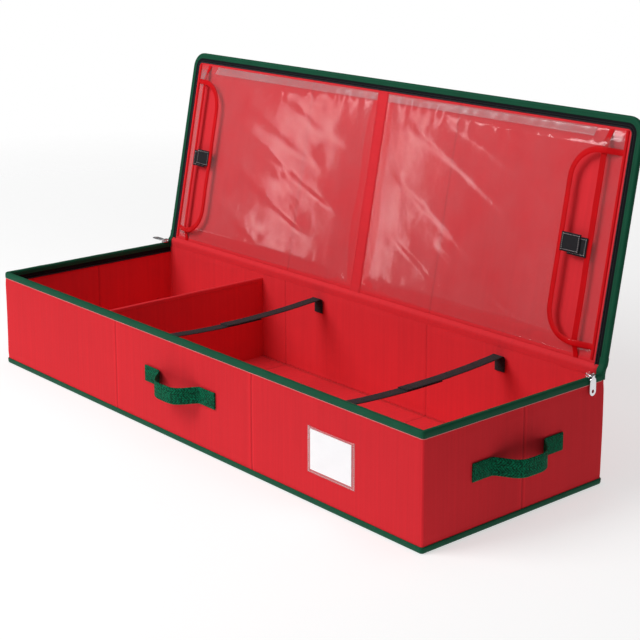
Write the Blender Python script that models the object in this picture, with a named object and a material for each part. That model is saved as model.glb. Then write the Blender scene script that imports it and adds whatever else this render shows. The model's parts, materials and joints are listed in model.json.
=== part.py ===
"""Gift wrap organizer: a long cloth box with a hinged, zipped lid that holds two clear pockets.

Units are metres and +Z is up. The origin is the middle of the box's underside, +X runs along its length to the right
and +Y to the hinge side. The lid stands open, leaning back. Run it with: blender --background --python part.py
"""

import math

import bmesh
import bpy
from mathutils import Vector

# The box, outside, and its sandwich of cloth, board and cloth
BOX_LENGTH = 1.040
BOX_DEPTH = 0.356
BOX_HEIGHT = 0.165
CLOTH = 0.0010
BOARD = 0.0030
CLEARANCE = 0.0003
BOARD_JOINT = 0.0020
SIDE_FOLD_BACK = 0.0110
CREASE_DEPTH = 0.0005

# Folded edge binding and zip tape
BINDING = 0.0008
RIM_BINDING_WIDTH = 0.0100
BASE_BINDING_WIDTH = 0.0090
LID_BINDING_WIDTH = 0.0110
ZIP_TAPE = 0.0008
ZIP_TAPE_WIDTH = 0.0090

# Hinge along the top of the back wall, and how far the open lid leans past upright
HINGE_RISE = 0.0060
HINGE_CORD_RADIUS = 0.0012
HINGE_NECK = 0.0010
HINGE_STRIP_DEPTH = 0.0170
HINGE_TAPER = 0.0035
BACK_WALL_DROP = 0.0020
LID_LEAN_DEG = 11.0
LID_CORNER_RADIUS = 0.0250
LID_STAND_OFF = 0.0015
LID_EDGE_GAP = 0.0005
LID_TRIM_FOOT = 0.0020

# Webbing handles, along the wall and out from it
HANDLE_WIDTH = 0.0260
HANDLE_THICKNESS = 0.0020
HANDLE_LENGTH = 0.1780
HANDLE_PATCH = 0.0350
HANDLE_BULGE = 0.0300
FRONT_HANDLE_HEIGHT = 0.0900
SIDE_HANDLE_HEIGHT = 0.0870
HANDLE_FULLNESS = 2.0

# Label sleeve and card
SLEEVE_WIDTH = 0.0956
SLEEVE_HEIGHT = 0.0670
SLEEVE_FILM = 0.0005
SLEEVE_BACKING = 0.0008
SLEEVE_SEAM = 0.0050
CARD = 0.0005
CARD_SIDE_ROOM = 0.0010
CARD_TOP_DROP = 0.0035
LABEL_FROM_RIGHT_END = 0.1743
LABEL_HEIGHT = 0.0790

# Divider across the inside
DIVIDER_FROM_LEFT_END = 0.2810
DIVIDER_TOP_DROP = 0.0140
DIVIDER_FRONT_ROOM = 0.0014

# Straps over the long compartment
STRAP_WIDTH = 0.0200
STRAP_THICKNESS = 0.0016
STRAP_DROP = 0.0205
STRAP_PATCH = 0.0200
STRAP_BEND = 0.0050
STRAP_SAG = 0.0080
STRAP_OVERLAP = 0.0700
STRAP_END_FROM_FRONT = 0.1470
LEFT_STRAP_FROM_LEFT_END = 0.4370
RIGHT_STRAP_FROM_RIGHT_END = 0.1900

# Clear pockets in the lid, measured from the lid's middle and from the hinge axis
FILM = 0.0006
LIP_FILM = 0.0005
POCKET_GAP = 0.0020
CENTRE_BAND_HALF_WIDTH = 0.0125
POCKET_FLAT = 0.0020
POCKET_DEPTH = 0.0120
POCKET_LIP_DEPTH = 0.0104
POCKET_FOOT = 0.0090
POCKET_FOOT_SLOPE = 0.0110
POCKET_HEAD_SLOPE = 0.0160
POCKET_END_MARGIN = 0.0250
LIP_WIDTH = 0.0300
LIP_END_ROOM = 0.0030
MOUTH_DEPTH = 0.0740
MOUTH_FOOT = 0.0290
MOUTH_HEAD_ROOM = 0.0346
MOUTH_RADIUS = 0.0420
POCKET_TAPE = 0.0008
MOUTH_TAPE_WIDTH = 0.0080
LIP_TAPE_WIDTH = 0.0070
CLOSURE = 0.0010
CLOSURE_HEIGHT = 0.0280
CLOSURE_FROM_HINGE = 0.1640
TAB_LENGTH = 0.0350
TAB_SEWN = 0.0015
PATCH_LENGTH = 0.0340
PATCH_SEWN = 0.0010
PATCH_DROP = 0.0030

# Zip sliders on the side rims, with their pulls
SLIDER_LENGTH = 0.0136
SLIDER_WIDTH = 0.0098
SLIDER_HEIGHT = 0.0053
SLIDER_PLATE = 0.0012
SLIDER_POST = 0.0030
BRIDGE_BAR = 0.0012
BRIDGE_EAR = 0.0013
BRIDGE_SPAN = 0.0068
PIVOT_OUT = 0.0036
PIVOT_UP = 0.0030
PULL_LENGTH = 0.0290
PULL_WIDTH = 0.0126
PULL_THICKNESS = 0.0014
PULL_NECK_LENGTH = 0.0055
PULL_NECK_WIDTH = 0.0062
EYE_OUTER_RADIUS = 0.0020
EYE_HOLE_RADIUS = 0.0012
PULL_HOLE_RADIUS = 0.0026
PULL_HOLE_FROM_END = 0.0062
RIGHT_SLIDER_FROM_BACK = 0.0300
LEFT_SLIDER_FROM_BACK = 0.0160

# How finely the curves are cut, and how far a cutter runs past what it cuts
CORNER_STEPS = 6
CORD_STEPS = 10
EYE_STEPS = 20
HANDLE_STEPS = 14
STRAP_STEPS = 8
BEND_STEPS = 3
MOUTH_STEPS = 6
OVERRUN = 0.0200
SMOOTH_ANGLE_DEG = 30.0

# Worked out from the sizes above
BOARD_IN = CLOTH + CLEARANCE
LINING_IN = BOARD_IN + BOARD + CLEARANCE
WALL = LINING_IN + CLOTH
HALF_LENGTH = BOX_LENGTH / 2
HALF_DEPTH = BOX_DEPTH / 2
WALL_TOP = BOX_HEIGHT - BINDING - CLEARANCE
HINGE_Z = BOX_HEIGHT + HINGE_RISE
HINGE_Y = HALF_DEPTH - WALL / 2
BACK_TOP = HINGE_Z - BACK_WALL_DROP
STRIP_LOW = BOX_HEIGHT - HINGE_STRIP_DEPTH
FLOOR = WALL
LID_TOP = HINGE_Y + HALF_DEPTH
LID_OUTER = LID_STAND_OFF + WALL
STRAP_Z = BOX_HEIGHT - STRAP_DROP
FRONT_INNER = -HALF_DEPTH + WALL + CLEARANCE
BACK_INNER = HALF_DEPTH - WALL - CLEARANCE


def finish(name, colour, roughness, metallic=0.0, alpha=1.0):
    """A Principled material of one colour."""
    made = bpy.data.materials.new(name)
    made.use_nodes = True
    shader = made.node_tree.nodes["Principled BSDF"]
    shader.inputs["Base Color"].default_value = (*colour, 1.0)
    shader.inputs["Roughness"].default_value = roughness
    shader.inputs["Metallic"].default_value = metallic
    shader.inputs["Alpha"].default_value = alpha
    made.diffuse_color = (*colour, alpha)
    return made


def solid(name, points, faces, look, origin=(0, 0, 0), parent=None):
    """An object of these points, given in its parent's frame, with its own origin at `origin`."""
    place = Vector(origin)
    mesh = bpy.data.meshes.new(name)
    mesh.from_pydata([Vector(p) - place for p in points], [], faces)
    shape = bmesh.new()
    shape.from_mesh(mesh)
    bmesh.ops.recalc_face_normals(shape, faces=shape.faces)
    shape.to_mesh(mesh)
    shape.free()
    made = bpy.data.objects.new(name, mesh)
    made.location = place
    made.parent = parent
    made.data.materials.append(look)
    bpy.context.scene.collection.objects.link(made)
    return made


def loft(name, rings, look, **where):
    """A closed solid through rings of the same number of points, capped at both ends."""
    count = len(rings[0])
    points = [p for ring in rings for p in ring]
    faces = [list(range(count)), [len(points) - count + i for i in range(count)]]
    for k in range(len(rings) - 1):
        for i in range(count):
            j = (i + 1) % count
            faces.append([k * count + i, k * count + j, (k + 1) * count + j, (k + 1) * count + i])
    return solid(name, points, faces, look, **where)


def block(name, low, high, look, **where):
    """A box between two corners."""
    outline = [(low[0], low[1]), (high[0], low[1]), (high[0], high[1]), (low[0], high[1])]
    return loft(name, [[(x, y, z) for x, y in outline] for z in (low[2], high[2])], look, **where)


def cut(target, tool, operation="DIFFERENCE"):
    """A Boolean that stays live, with its tool left out of renders."""
    tool.hide_render = True
    tool.display_type = "WIRE"
    step = target.modifiers.new(tool.name, "BOOLEAN")
    step.operation = operation
    step.object = tool
    return target


def smooth(made):
    made.data.shade_smooth()
    made.data.set_sharp_from_angle(angle=math.radians(SMOOTH_ANGLE_DEG))
    return made


def empty(name, place, turn=(0, 0, 0)):
    made = bpy.data.objects.new(name, None)
    made.location = place
    made.rotation_euler = turn
    bpy.context.scene.collection.objects.link(made)
    return made


def swept(name, profile, stations, look, **where):
    """A profile of (inwards, up) points carried along stations of (x, y, inward x, inward y)."""
    rings = [[(x + dx * t, y + dy * t, z) for t, z in profile] for x, y, dx, dy in stations]
    return loft(name, rings, look, **where)


def strip_profile(t_low, t_high, low, high):
    return [(t_low, low), (t_high, low), (t_high, high), (t_low, high)]


def channel_profile(low, high, width_low, width_high):
    """A U-shaped binding as (in from the wrapped edge, across), over faces that lie at low and high across."""
    out, inside = -CLEARANCE - BINDING, -CLEARANCE
    a, b = low - CLEARANCE - BINDING, low - CLEARANCE
    c, d = high + CLEARANCE, high + CLEARANCE + BINDING
    outline = [(width_low, a), (out, a), (out, d), (width_high, d)]
    return outline + [(width_high, c), (inside, c), (inside, b), (width_low, b)]


def walls(name, inset, low, look, creased, floored):
    """Cloth walls that lie `inset` inside the box's own faces, the back one tallest, with or without a floor."""
    x, y = HALF_LENGTH - inset, HALF_DEPTH - inset
    made = block(name, (-x, -y, low), (x, y, BACK_TOP), look)
    inner_x, inner_y = x - CLOTH, y - CLOTH
    foot, high = low + CLOTH if floored else low - OVERRUN, BACK_TOP + OVERRUN
    cut(made, block(f"{name}_hollow", (-inner_x, -inner_y, foot), (inner_x, inner_y, high), look))
    far = HALF_LENGTH + OVERRUN
    cut(made, block(f"{name}_rim_cut", (-far, -far, WALL_TOP), (far, inner_y, high), look))
    for k, (px, py) in enumerate(crease_places() if creased else []):
        reach = CREASE_DEPTH
        diamond = [(px - reach, py), (px, py - reach), (px + reach, py), (px, py + reach)]
        rings = [[(a, b, z) for a, b in diamond] for z in (-OVERRUN, high)]
        cut(made, loft(f"{name}_crease_{k + 1}", rings, look))
    return made


def crease_places():
    """Folds at the thirds of the long walls and just behind the middle of the short ones."""
    thirds = [-BOX_LENGTH / 6, BOX_LENGTH / 6]
    places = [(x, side * HALF_DEPTH) for side in (-1, 1) for x in thirds]
    return places + [(side * HALF_LENGTH, SIDE_FOLD_BACK) for side in (-1, 1)]


def spans(low, high, count):
    """Equal runs between two places, with a fold joint between neighbours."""
    step = (high - low) / count
    half = BOARD_JOINT / 2
    return [
        (low + k * step + (half if k else 0), low + (k + 1) * step - (half if k < count - 1 else 0))
        for k in range(count)
    ]


def boards(look):
    """Stiffeners between shell and lining, split where the cloth folds."""
    x, y = HALF_LENGTH - BOARD_IN, HALF_DEPTH - BOARD_IN
    low, high = BOARD_IN, BOARD_IN + BOARD
    foot = high + CLEARANCE
    for k, (a, b) in enumerate(spans(-x, x, 3)):
        block(f"base_board_{k + 1}", (a, -y, low), (b, y, high), look)
        block(f"front_board_{k + 1}", (a, -y, foot), (b, -y + BOARD, WALL_TOP), look)
        block(f"back_board_{k + 1}", (a, y - BOARD, foot), (b, y, STRIP_LOW - CLEARANCE), look)
    side_y = y - BOARD - CLEARANCE
    halves = [(-side_y, SIDE_FOLD_BACK - BOARD_JOINT / 2), (SIDE_FOLD_BACK + BOARD_JOINT / 2, side_y)]
    for k, (a, b) in enumerate(halves):
        block(f"left_board_{k + 1}", (-x, a, foot), (-x + BOARD, b, WALL_TOP), look)
        block(f"right_board_{k + 1}", (x - BOARD, a, foot), (x, b, WALL_TOP), look)


def rim_trim(green, black):
    """Green binding over the rim, mitred at the front corners, and the zip tape sewn under it."""
    width = RIM_BINDING_WIDTH - BINDING - CLEARANCE
    profile = [(across, WALL_TOP - inwards) for inwards, across in channel_profile(0, WALL, width, width)]
    front = [(-HALF_LENGTH, -HALF_DEPTH, 1, 1), (HALF_LENGTH, -HALF_DEPTH, -1, 1)]
    swept("rim_binding_front", profile, front, green)
    mitre_gap = CLEARANCE * math.sqrt(2)
    for side, name in ((-1, "left"), (1, "right")):
        stations = [
            (side * HALF_LENGTH, -HALF_DEPTH + mitre_gap, -side, 1),
            (side * HALF_LENGTH, BACK_INNER, -side, 0),
        ]
        swept(f"rim_binding_{name}", profile, stations, green)
    wall, high = WALL + CLEARANCE, BOX_HEIGHT - RIM_BINDING_WIDTH - CLEARANCE
    tape = strip_profile(wall, wall + ZIP_TAPE, high - ZIP_TAPE_WIDTH, high)
    around = [(-HALF_LENGTH, BACK_INNER, 1, 0), *front, (HALF_LENGTH, BACK_INNER, -1, 0)]
    swept("box_zip_tape", tape, around, black)


def base_trim(green):
    """Green binding round the bottom edges, outside the shell."""
    near, far = CLEARANCE, CLEARANCE + BINDING
    x, y = HALF_LENGTH + far, HALF_DEPTH + far
    for side, name in ((-1, "front"), (1, "back")):
        ends = sorted((side * (HALF_DEPTH + near), side * y))
        block(f"base_binding_{name}", (-x, ends[0], 0), (x, ends[1], BASE_BINDING_WIDTH), green)
    for side, name in ((-1, "left"), (1, "right")):
        ends = sorted((side * (HALF_LENGTH + near), side * x))
        block(f"base_binding_{name}", (ends[0], -HALF_DEPTH, 0), (ends[1], HALF_DEPTH, BASE_BINDING_WIDTH), green)


def hinge_strip(look):
    """A cloth strip held in the back wall, with a round corded edge on the hinge axis."""
    half_neck = HINGE_NECK / 2
    open_angle = math.asin(half_neck / HINGE_CORD_RADIUS)
    profile = [(-BOARD / 2, STRIP_LOW), (-BOARD / 2, WALL_TOP), (-half_neck, WALL_TOP + HINGE_TAPER)]
    for k in range(CORD_STEPS + 1):
        angle = -math.pi / 2 - open_angle - k * (2 * math.pi - 2 * open_angle) / CORD_STEPS
        profile.append((HINGE_CORD_RADIUS * math.cos(angle), HINGE_Z + HINGE_CORD_RADIUS * math.sin(angle)))
    profile += [(half_neck, WALL_TOP + HINGE_TAPER), (BOARD / 2, WALL_TOP), (BOARD / 2, STRIP_LOW)]
    x = HALF_LENGTH - BOARD_IN
    smooth(loft("hinge_strip", [[(s, HINGE_Y + y, z) for y, z in profile] for s in (-x, x)], look))


def handle(name, look, height, wall_point, along, out):
    """A webbing loop: two flat sewn ends and an arch that a hand goes through."""
    half, patch = HANDLE_LENGTH / 2, HANDLE_PATCH
    arch = half - patch
    base = CLEARANCE + HANDLE_THICKNESS / 2
    line = [(-half, base)]
    for k in range(HANDLE_STEPS + 1):
        w = -arch + 2 * arch * k / HANDLE_STEPS
        share = 0.5 + 0.5 * math.cos(math.pi * abs(w / arch) ** HANDLE_FULLNESS)
        line.append((w, base + HANDLE_BULGE * share))
    line.append((half, base))
    rings = []
    for k, (w, o) in enumerate(line):
        before, after = line[max(k - 1, 0)], line[min(k + 1, len(line) - 1)]
        dw, do = after[0] - before[0], after[1] - before[1]
        size = math.hypot(dw, do)
        nw, no = -do / size * HANDLE_THICKNESS / 2, dw / size * HANDLE_THICKNESS / 2
        ring = []
        for sign, level in ((-1, -1), (1, -1), (1, 1), (-1, 1)):
            a, b = w + sign * nw, max(o + sign * no, CLEARANCE)
            ring.append((
                wall_point[0] + along[0] * a + out[0] * b,
                wall_point[1] + along[1] * a + out[1] * b,
                height + level * HANDLE_WIDTH / 2,
            ))
        rings.append(ring)
    smooth(loft(name, rings, look))


def label(clear, white):
    """A clear sleeve on the front wall, open at its top, and the card that slides up out of it."""
    x = HALF_LENGTH - LABEL_FROM_RIGHT_END
    half_width, half_height = SLEEVE_WIDTH / 2, SLEEVE_HEIGHT / 2
    back = -HALF_DEPTH - CLEARANCE
    room_back = back - SLEEVE_BACKING
    room_front = room_back - 2 * CLEARANCE - CARD
    front = room_front - SLEEVE_FILM
    low, high = LABEL_HEIGHT - half_height, LABEL_HEIGHT + half_height
    sleeve = block("label_sleeve", (x - half_width, front, low), (x + half_width, back, high), clear)
    room = half_width - SLEEVE_SEAM
    cut(sleeve, block(
        "label_sleeve_room", (x - room, room_front, low + SLEEVE_SEAM), (x + room, room_back, high + OVERRUN), clear
    ))
    reach = room - CARD_SIDE_ROOM
    foot = low + SLEEVE_SEAM + CLEARANCE
    card_front = room_front + CLEARANCE
    block(
        "label_card", (x - reach, card_front, foot), (x + reach, card_front + CARD, high - CARD_TOP_DROP), white,
        origin=(x, card_front, foot),
    )


def divider(red, brown):
    """A board in a cloth sleeve, standing across the box on the lining."""
    x = -HALF_LENGTH + DIVIDER_FROM_LEFT_END
    front, back = FRONT_INNER + DIVIDER_FRONT_ROOM, BACK_INNER
    low, high = FLOOR + CLEARANCE, BOX_HEIGHT - DIVIDER_TOP_DROP
    half = BOARD / 2 + CLEARANCE + CLOTH
    cover = block("divider_cover", (x - half, front, low), (x + half, back, high), red)
    room = half - CLOTH
    cut(cover, block(
        "divider_room", (x - room, front + CLOTH, low - OVERRUN), (x + room, back - CLOTH, high - CLOTH), red
    ))
    inside = CLOTH + CLEARANCE
    block(
        "divider_board", (x - BOARD / 2, front + inside, low), (x + BOARD / 2, back - inside, high - inside), brown
    )


def strap_half(name, look, x, side, lift, free_y):
    """Half a strap: sewn to a wall (side -1 front, 1 back), bent over and sagging to its free end."""
    wall_y = side * (HALF_DEPTH - WALL - CLEARANCE - STRAP_THICKNESS / 2)
    level = STRAP_Z + lift
    start_y = wall_y - side * STRAP_BEND
    line = [(wall_y, level - STRAP_BEND - STRAP_PATCH)]
    for k in range(BEND_STEPS + 1):
        angle = k * math.pi / 2 / BEND_STEPS
        line.append((start_y + side * STRAP_BEND * math.cos(angle), level - STRAP_BEND * (1 - math.sin(angle))))
    for k in range(1, STRAP_STEPS + 1):
        y = start_y + (free_y - start_y) * k / STRAP_STEPS
        line.append((y, level - sag_at(y)))
    rings = []
    for k, (y, z) in enumerate(line):
        before, after = line[max(k - 1, 0)], line[min(k + 1, len(line) - 1)]
        dy, dz = after[0] - before[0], after[1] - before[1]
        size = math.hypot(dy, dz)
        ny, nz = -dz / size * STRAP_THICKNESS / 2, dy / size * STRAP_THICKNESS / 2
        ring = [(x + a * STRAP_WIDTH / 2, y + b * ny, z + b * nz) for a, b in ((-1, -1), (1, -1), (1, 1), (-1, 1))]
        rings.append(ring)
    smooth(loft(name, rings, look))


def sag_at(y):
    """How far a strap hangs below its ends."""
    share = y / (HALF_DEPTH - WALL - STRAP_BEND)
    return STRAP_SAG * max(0.0, 1 - share**2)


def straps(look):
    """Two straps, the back half of each lying on its front half."""
    end_y = -HALF_DEPTH + STRAP_END_FROM_FRONT
    left, right = -HALF_LENGTH + LEFT_STRAP_FROM_LEFT_END, HALF_LENGTH - RIGHT_STRAP_FROM_RIGHT_END
    for name, x in (("left", left), ("right", right)):
        strap_half(f"{name}_strap_front", look, x, -1, 0, end_y + STRAP_OVERLAP)
        strap_half(f"{name}_strap_back", look, x, 1, STRAP_THICKNESS + CLEARANCE, end_y)


def slider(side, name, look, from_back):
    """A slider on a side rim: two plates on a post, with a bridge that its pull hangs from."""
    y = HALF_DEPTH - from_back
    x = side * (HALF_LENGTH - WALL / 2)
    low = BOX_HEIGHT + CLEARANCE
    half, post = SLIDER_WIDTH / 2, SLIDER_POST / 2
    high = low + SLIDER_HEIGHT
    near, far = low + SLIDER_PLATE, high - SLIDER_PLATE
    profile = [(-half, low), (half, low), (half, near), (post, near), (post, far), (half, far), (half, high)]
    profile += [(-half, high), (-half, far), (-post, far), (-post, near), (-half, near)]
    ends = (y - SLIDER_LENGTH / 2, y + SLIDER_LENGTH / 2)
    rings = [[(x + a, end, b) for a, b in profile] for end in ends]
    made = loft(f"{name}_zip_slider", rings, look, origin=(x, y, low))
    pivot = (side * (HALF_LENGTH + PIVOT_OUT), y, BOX_HEIGHT + PIVOT_UP)
    inside, tip = x, pivot[0] + side * BRIDGE_BAR / 2
    bar = pivot[0] - side * BRIDGE_BAR / 2
    a, b = BRIDGE_SPAN / 2, BRIDGE_SPAN / 2 + BRIDGE_EAR
    outline = [(inside, -b), (tip, -b), (tip, b), (inside, b), (inside, a), (bar, a), (bar, -a), (inside, -a)]
    levels = (pivot[2] - BRIDGE_BAR / 2, pivot[2] + BRIDGE_BAR / 2)
    bridge = loft(f"{name}_zip_bridge", [[(u, y + v, z) for u, v in outline] for z in levels], look)
    cut(made, bridge, "UNION")
    return pivot


def cylinder(name, look, centre, axis, radius, half_span):
    """A round bar or hole tool along Y or X."""
    rings = []
    for end in (-half_span, half_span):
        ring = []
        for k in range(EYE_STEPS):
            angle = 2 * math.pi * k / EYE_STEPS
            u, v = radius * math.cos(angle), radius * math.sin(angle)
            shift = (u, end, v) if axis == "Y" else (end, u, v)
            ring.append(tuple(centre[i] + shift[i] for i in range(3)))
        rings.append(ring)
    return loft(name, rings, look)


def pull(name, look, pivot, turn):
    """A zip pull with an eye round the slider's bridge, hanging down unless turned up."""
    hung = empty(f"{name}_pivot", pivot, (0, turn, 0))
    half, neck = PULL_WIDTH / 2, PULL_NECK_WIDTH / 2
    shoulder = -PULL_NECK_LENGTH
    top = -(EYE_HOLE_RADIUS + EYE_OUTER_RADIUS) / 2
    outline = [(-neck, top), (neck, top), (neck, shoulder), (half, shoulder - half / 2)]
    for k in range(CORNER_STEPS + 1):
        angle = -math.pi * k / CORNER_STEPS
        outline.append((half * math.cos(angle), half - PULL_LENGTH + half * math.sin(angle)))
    outline += [(-half, shoulder - half / 2), (-neck, shoulder)]
    flat = PULL_THICKNESS / 2
    made = loft(name, [[(x, u, v) for u, v in outline] for x in (-flat, flat)], look, parent=hung)
    tools = [
        ("UNION", cylinder(f"{name}_barrel", look, (0, 0, 0), "Y", EYE_OUTER_RADIUS, neck)),
        ("DIFFERENCE", cylinder(f"{name}_eye", look, (0, 0, 0), "Y", EYE_HOLE_RADIUS, OVERRUN)),
        ("DIFFERENCE", cylinder(
            f"{name}_hole", look, (0, 0, PULL_HOLE_FROM_END - PULL_LENGTH), "X", PULL_HOLE_RADIUS, OVERRUN
        )),
    ]
    for operation, tool in tools:
        tool.parent = hung
        cut(made, tool, operation)
    return made


def lid_path(top_only=False):
    """Stations round the lid's free edges, in the lid's frame: x, distance from the hinge, and the way inwards."""
    radius = LID_CORNER_RADIUS
    stations = [(-HALF_LENGTH, LID_TRIM_FOOT, 1, 0)]
    for side in (-1, 1):
        corner = (side * (HALF_LENGTH - radius), LID_TOP - radius)
        turns = range(CORNER_STEPS + 1) if side < 0 else range(CORNER_STEPS, -1, -1)
        for k in turns:
            angle = math.pi / 2 * k / CORNER_STEPS
            dx, du = side * math.cos(angle), math.sin(angle)
            stations.append((corner[0] + radius * dx, corner[1] + radius * du, -dx, -du))
    stations.append((HALF_LENGTH, LID_TRIM_FOOT, -1, 0))
    return stations[1:-1] if top_only else stations


def lid_swept(name, profile, look, parent):
    """A profile of (inwards, outwards from the lid's inner side) carried round the lid's free edges."""
    rings = [[(x + dx * t, n, u + du * t) for t, n in profile] for x, u, dx, du in lid_path()]
    return smooth(loft(name, rings, look, parent=parent))


def lid_sheet(name, inset, low, high, look, parent, span=None):
    """A flat sheet inside the lid's outline, or the part of it between two places along X."""
    outline = [(x + dx * inset, u + du * inset) for x, u, dx, du in lid_path(top_only=True)]
    ends = span or (-HALF_LENGTH + inset, HALF_LENGTH - inset)
    top = LID_TOP - inset
    kept = [(x, u) for x, u in outline if ends[0] <= x <= ends[1]]
    if not kept or kept[0][0] > ends[0]:
        kept.insert(0, (ends[0], top))
    if kept[-1][0] < ends[1]:
        kept.append((ends[1], top))
    foot = LID_EDGE_GAP + inset
    outline = [(ends[0], foot), *kept, (ends[1], foot)]
    rings = [[(x, n, u) for x, u in outline] for n in (low, high)]
    return loft(name, rings, look, parent=parent)


def lid_shell(parent, red, lining, brown, green, black):
    """The lid's sandwich of cloth and boards, its binding and its half of the zip."""
    inner = LID_STAND_OFF
    lid_sheet("lid_lining", 0, inner, inner + CLOTH, lining, parent)
    low = inner + CLOTH + CLEARANCE
    x = HALF_LENGTH - CLEARANCE
    for k, span in enumerate(spans(-x, x, 3)):
        lid_sheet(f"lid_board_{k + 1}", CLEARANCE, low, low + BOARD, brown, parent, span)
    cover = lid_sheet("lid_cover", 0, LID_OUTER - CLOTH, LID_OUTER, red, parent)
    for k, px in enumerate((-BOX_LENGTH / 6, BOX_LENGTH / 6)):
        reach = CREASE_DEPTH
        diamond = [(px - reach, LID_OUTER), (px, LID_OUTER - reach), (px + reach, LID_OUTER), (px, LID_OUTER + reach)]
        rings = [[(a, n, u) for a, n in diamond] for u in (-OVERRUN, LID_TOP + OVERRUN)]
        cut(cover, loft(f"lid_crease_{k + 1}", rings, red, parent=parent))
    profile = channel_profile(inner, LID_OUTER, LID_BINDING_WIDTH, RIM_BINDING_WIDTH)
    lid_swept("lid_binding", profile, green, parent)
    start = LID_BINDING_WIDTH + CLEARANCE
    tape = strip_profile(start, start + ZIP_TAPE_WIDTH, inner - CLEARANCE - ZIP_TAPE, inner - CLEARANCE)
    lid_swept("lid_zip_tape", tape, black, parent)


def share_between(value, knots):
    """A value read off straight lines through (place, share) knots."""
    for (a, p), (b, q) in zip(knots, knots[1:]):
        if value <= b:
            return p + (q - p) * max(0.0, value - a) / (b - a)
    return knots[-1][1]


POCKET_END = HALF_LENGTH - POCKET_END_MARGIN
POCKET_HEAD = LID_TOP - LID_BINDING_WIDTH - ZIP_TAPE_WIDTH - 2 * CLEARANCE
LIP_EDGE = POCKET_END - LIP_WIDTH
MOUTH_EDGE = POCKET_END - MOUTH_DEPTH
MOUTH_HEAD = POCKET_HEAD - MOUTH_HEAD_ROOM
SEAM_ROOM = LIP_FILM + CLEARANCE
ALONG_SHARES = [
    (POCKET_GAP / 2, 0.0),
    (CENTRE_BAND_HALF_WIDTH + POCKET_FLAT, 0.0),
    (MOUTH_EDGE, 1.0),
    (LIP_EDGE, 1.05),
    (POCKET_END, SEAM_ROOM / POCKET_DEPTH),
]
UP_SHARES = [
    (POCKET_FOOT, 0.0),
    (POCKET_FOOT + POCKET_FOOT_SLOPE, 1.0),
    (POCKET_HEAD - POCKET_HEAD_SLOPE, 1.0),
    (POCKET_HEAD, 0.0),
]


def film_back(x, u):
    """The film's side towards the lining, as the lid's n, at a place x from the middle and u from the hinge."""
    along, up = share_between(abs(x), ALONG_SHARES), share_between(u, UP_SHARES)
    lifted = max(along * up, min(along, SEAM_ROOM / POCKET_DEPTH))
    return LID_STAND_OFF - CLEARANCE - POCKET_DEPTH * lifted


def film_sheet(name, side, look, parent):
    """The clear pocket front as folded flats, standing off most at the mouth, with the mouth cut out."""
    xs = [side * x for x, _ in ALONG_SHARES]
    us = [u for u, _ in UP_SHARES]
    nx, nu = len(xs), len(us)
    points = [(x, film_back(x, u) - depth, u) for depth in (0, FILM) for x in xs for u in us]
    faces = []
    for layer in (0, 1):
        for i in range(nx - 1):
            for j in range(nu - 1):
                a = layer * nx * nu + i * nu + j
                b, c, d = a + nu, a + nu + 1, a + 1
                faces += [(a, b, c), (a, c, d)]
    edge = [i * nu for i in range(nx)] + [(nx - 1) * nu + j for j in range(1, nu)]
    edge += [i * nu + nu - 1 for i in range(nx - 2, -1, -1)] + [j for j in range(nu - 2, 0, -1)]
    for k, a in enumerate(edge):
        b = edge[(k + 1) % len(edge)]
        faces.append((a, b, b + nx * nu, a + nx * nu))
    made = solid(name, points, faces, look, parent=parent)
    outline = mouth_outline(side, 0)
    outline = [(side * (HALF_LENGTH + OVERRUN), outline[0][1]), *outline]
    outline.append((side * (HALF_LENGTH + OVERRUN), outline[-1][1]))
    far = LID_STAND_OFF - CLEARANCE / 2
    rings = [[(x, n, u) for x, u in outline] for n in (-POCKET_DEPTH - OVERRUN, far)]
    return cut(made, loft(f"{name}_mouth", rings, look, parent=parent))


def mouth_outline(side, away):
    """The C-shaped mouth as (x, u), from its foot at the seam round to its head, `away` outside its edge."""
    radius = MOUTH_RADIUS + away
    left = MOUTH_EDGE + MOUTH_RADIUS
    line = [(POCKET_END - CLEARANCE, MOUTH_FOOT - away), (LIP_EDGE, MOUTH_FOOT - away)]
    for foot, angles in ((True, range(MOUTH_STEPS + 1)), (False, range(MOUTH_STEPS, -1, -1))):
        centre = MOUTH_FOOT + MOUTH_RADIUS if foot else MOUTH_HEAD - MOUTH_RADIUS
        for k in angles:
            angle = math.pi / 2 * k / MOUTH_STEPS
            drop = -1 if foot else 1
            line.append((left - radius * math.sin(angle), centre + drop * radius * math.cos(angle)))
    line += [(LIP_EDGE, MOUTH_HEAD + away), (POCKET_END - CLEARANCE, MOUTH_HEAD + away)]
    return [(side * x, u) for x, u in line]


def mouth_tape(name, side, look, parent):
    """Red tape lying on the film round the mouth."""
    near, far = mouth_outline(side, CLEARANCE), mouth_outline(side, MOUTH_TAPE_WIDTH)
    rings = []
    for a, b in zip(near, far):
        back_a, back_b = (film_back(*p) - FILM - CLEARANCE for p in (a, b))
        rings.append([
            (a[0], back_a, a[1]), (b[0], back_b, b[1]),
            (b[0], back_b - POCKET_TAPE, b[1]), (a[0], back_a - POCKET_TAPE, a[1]),
        ])
    loft(name, rings, look, parent=parent)


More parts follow.
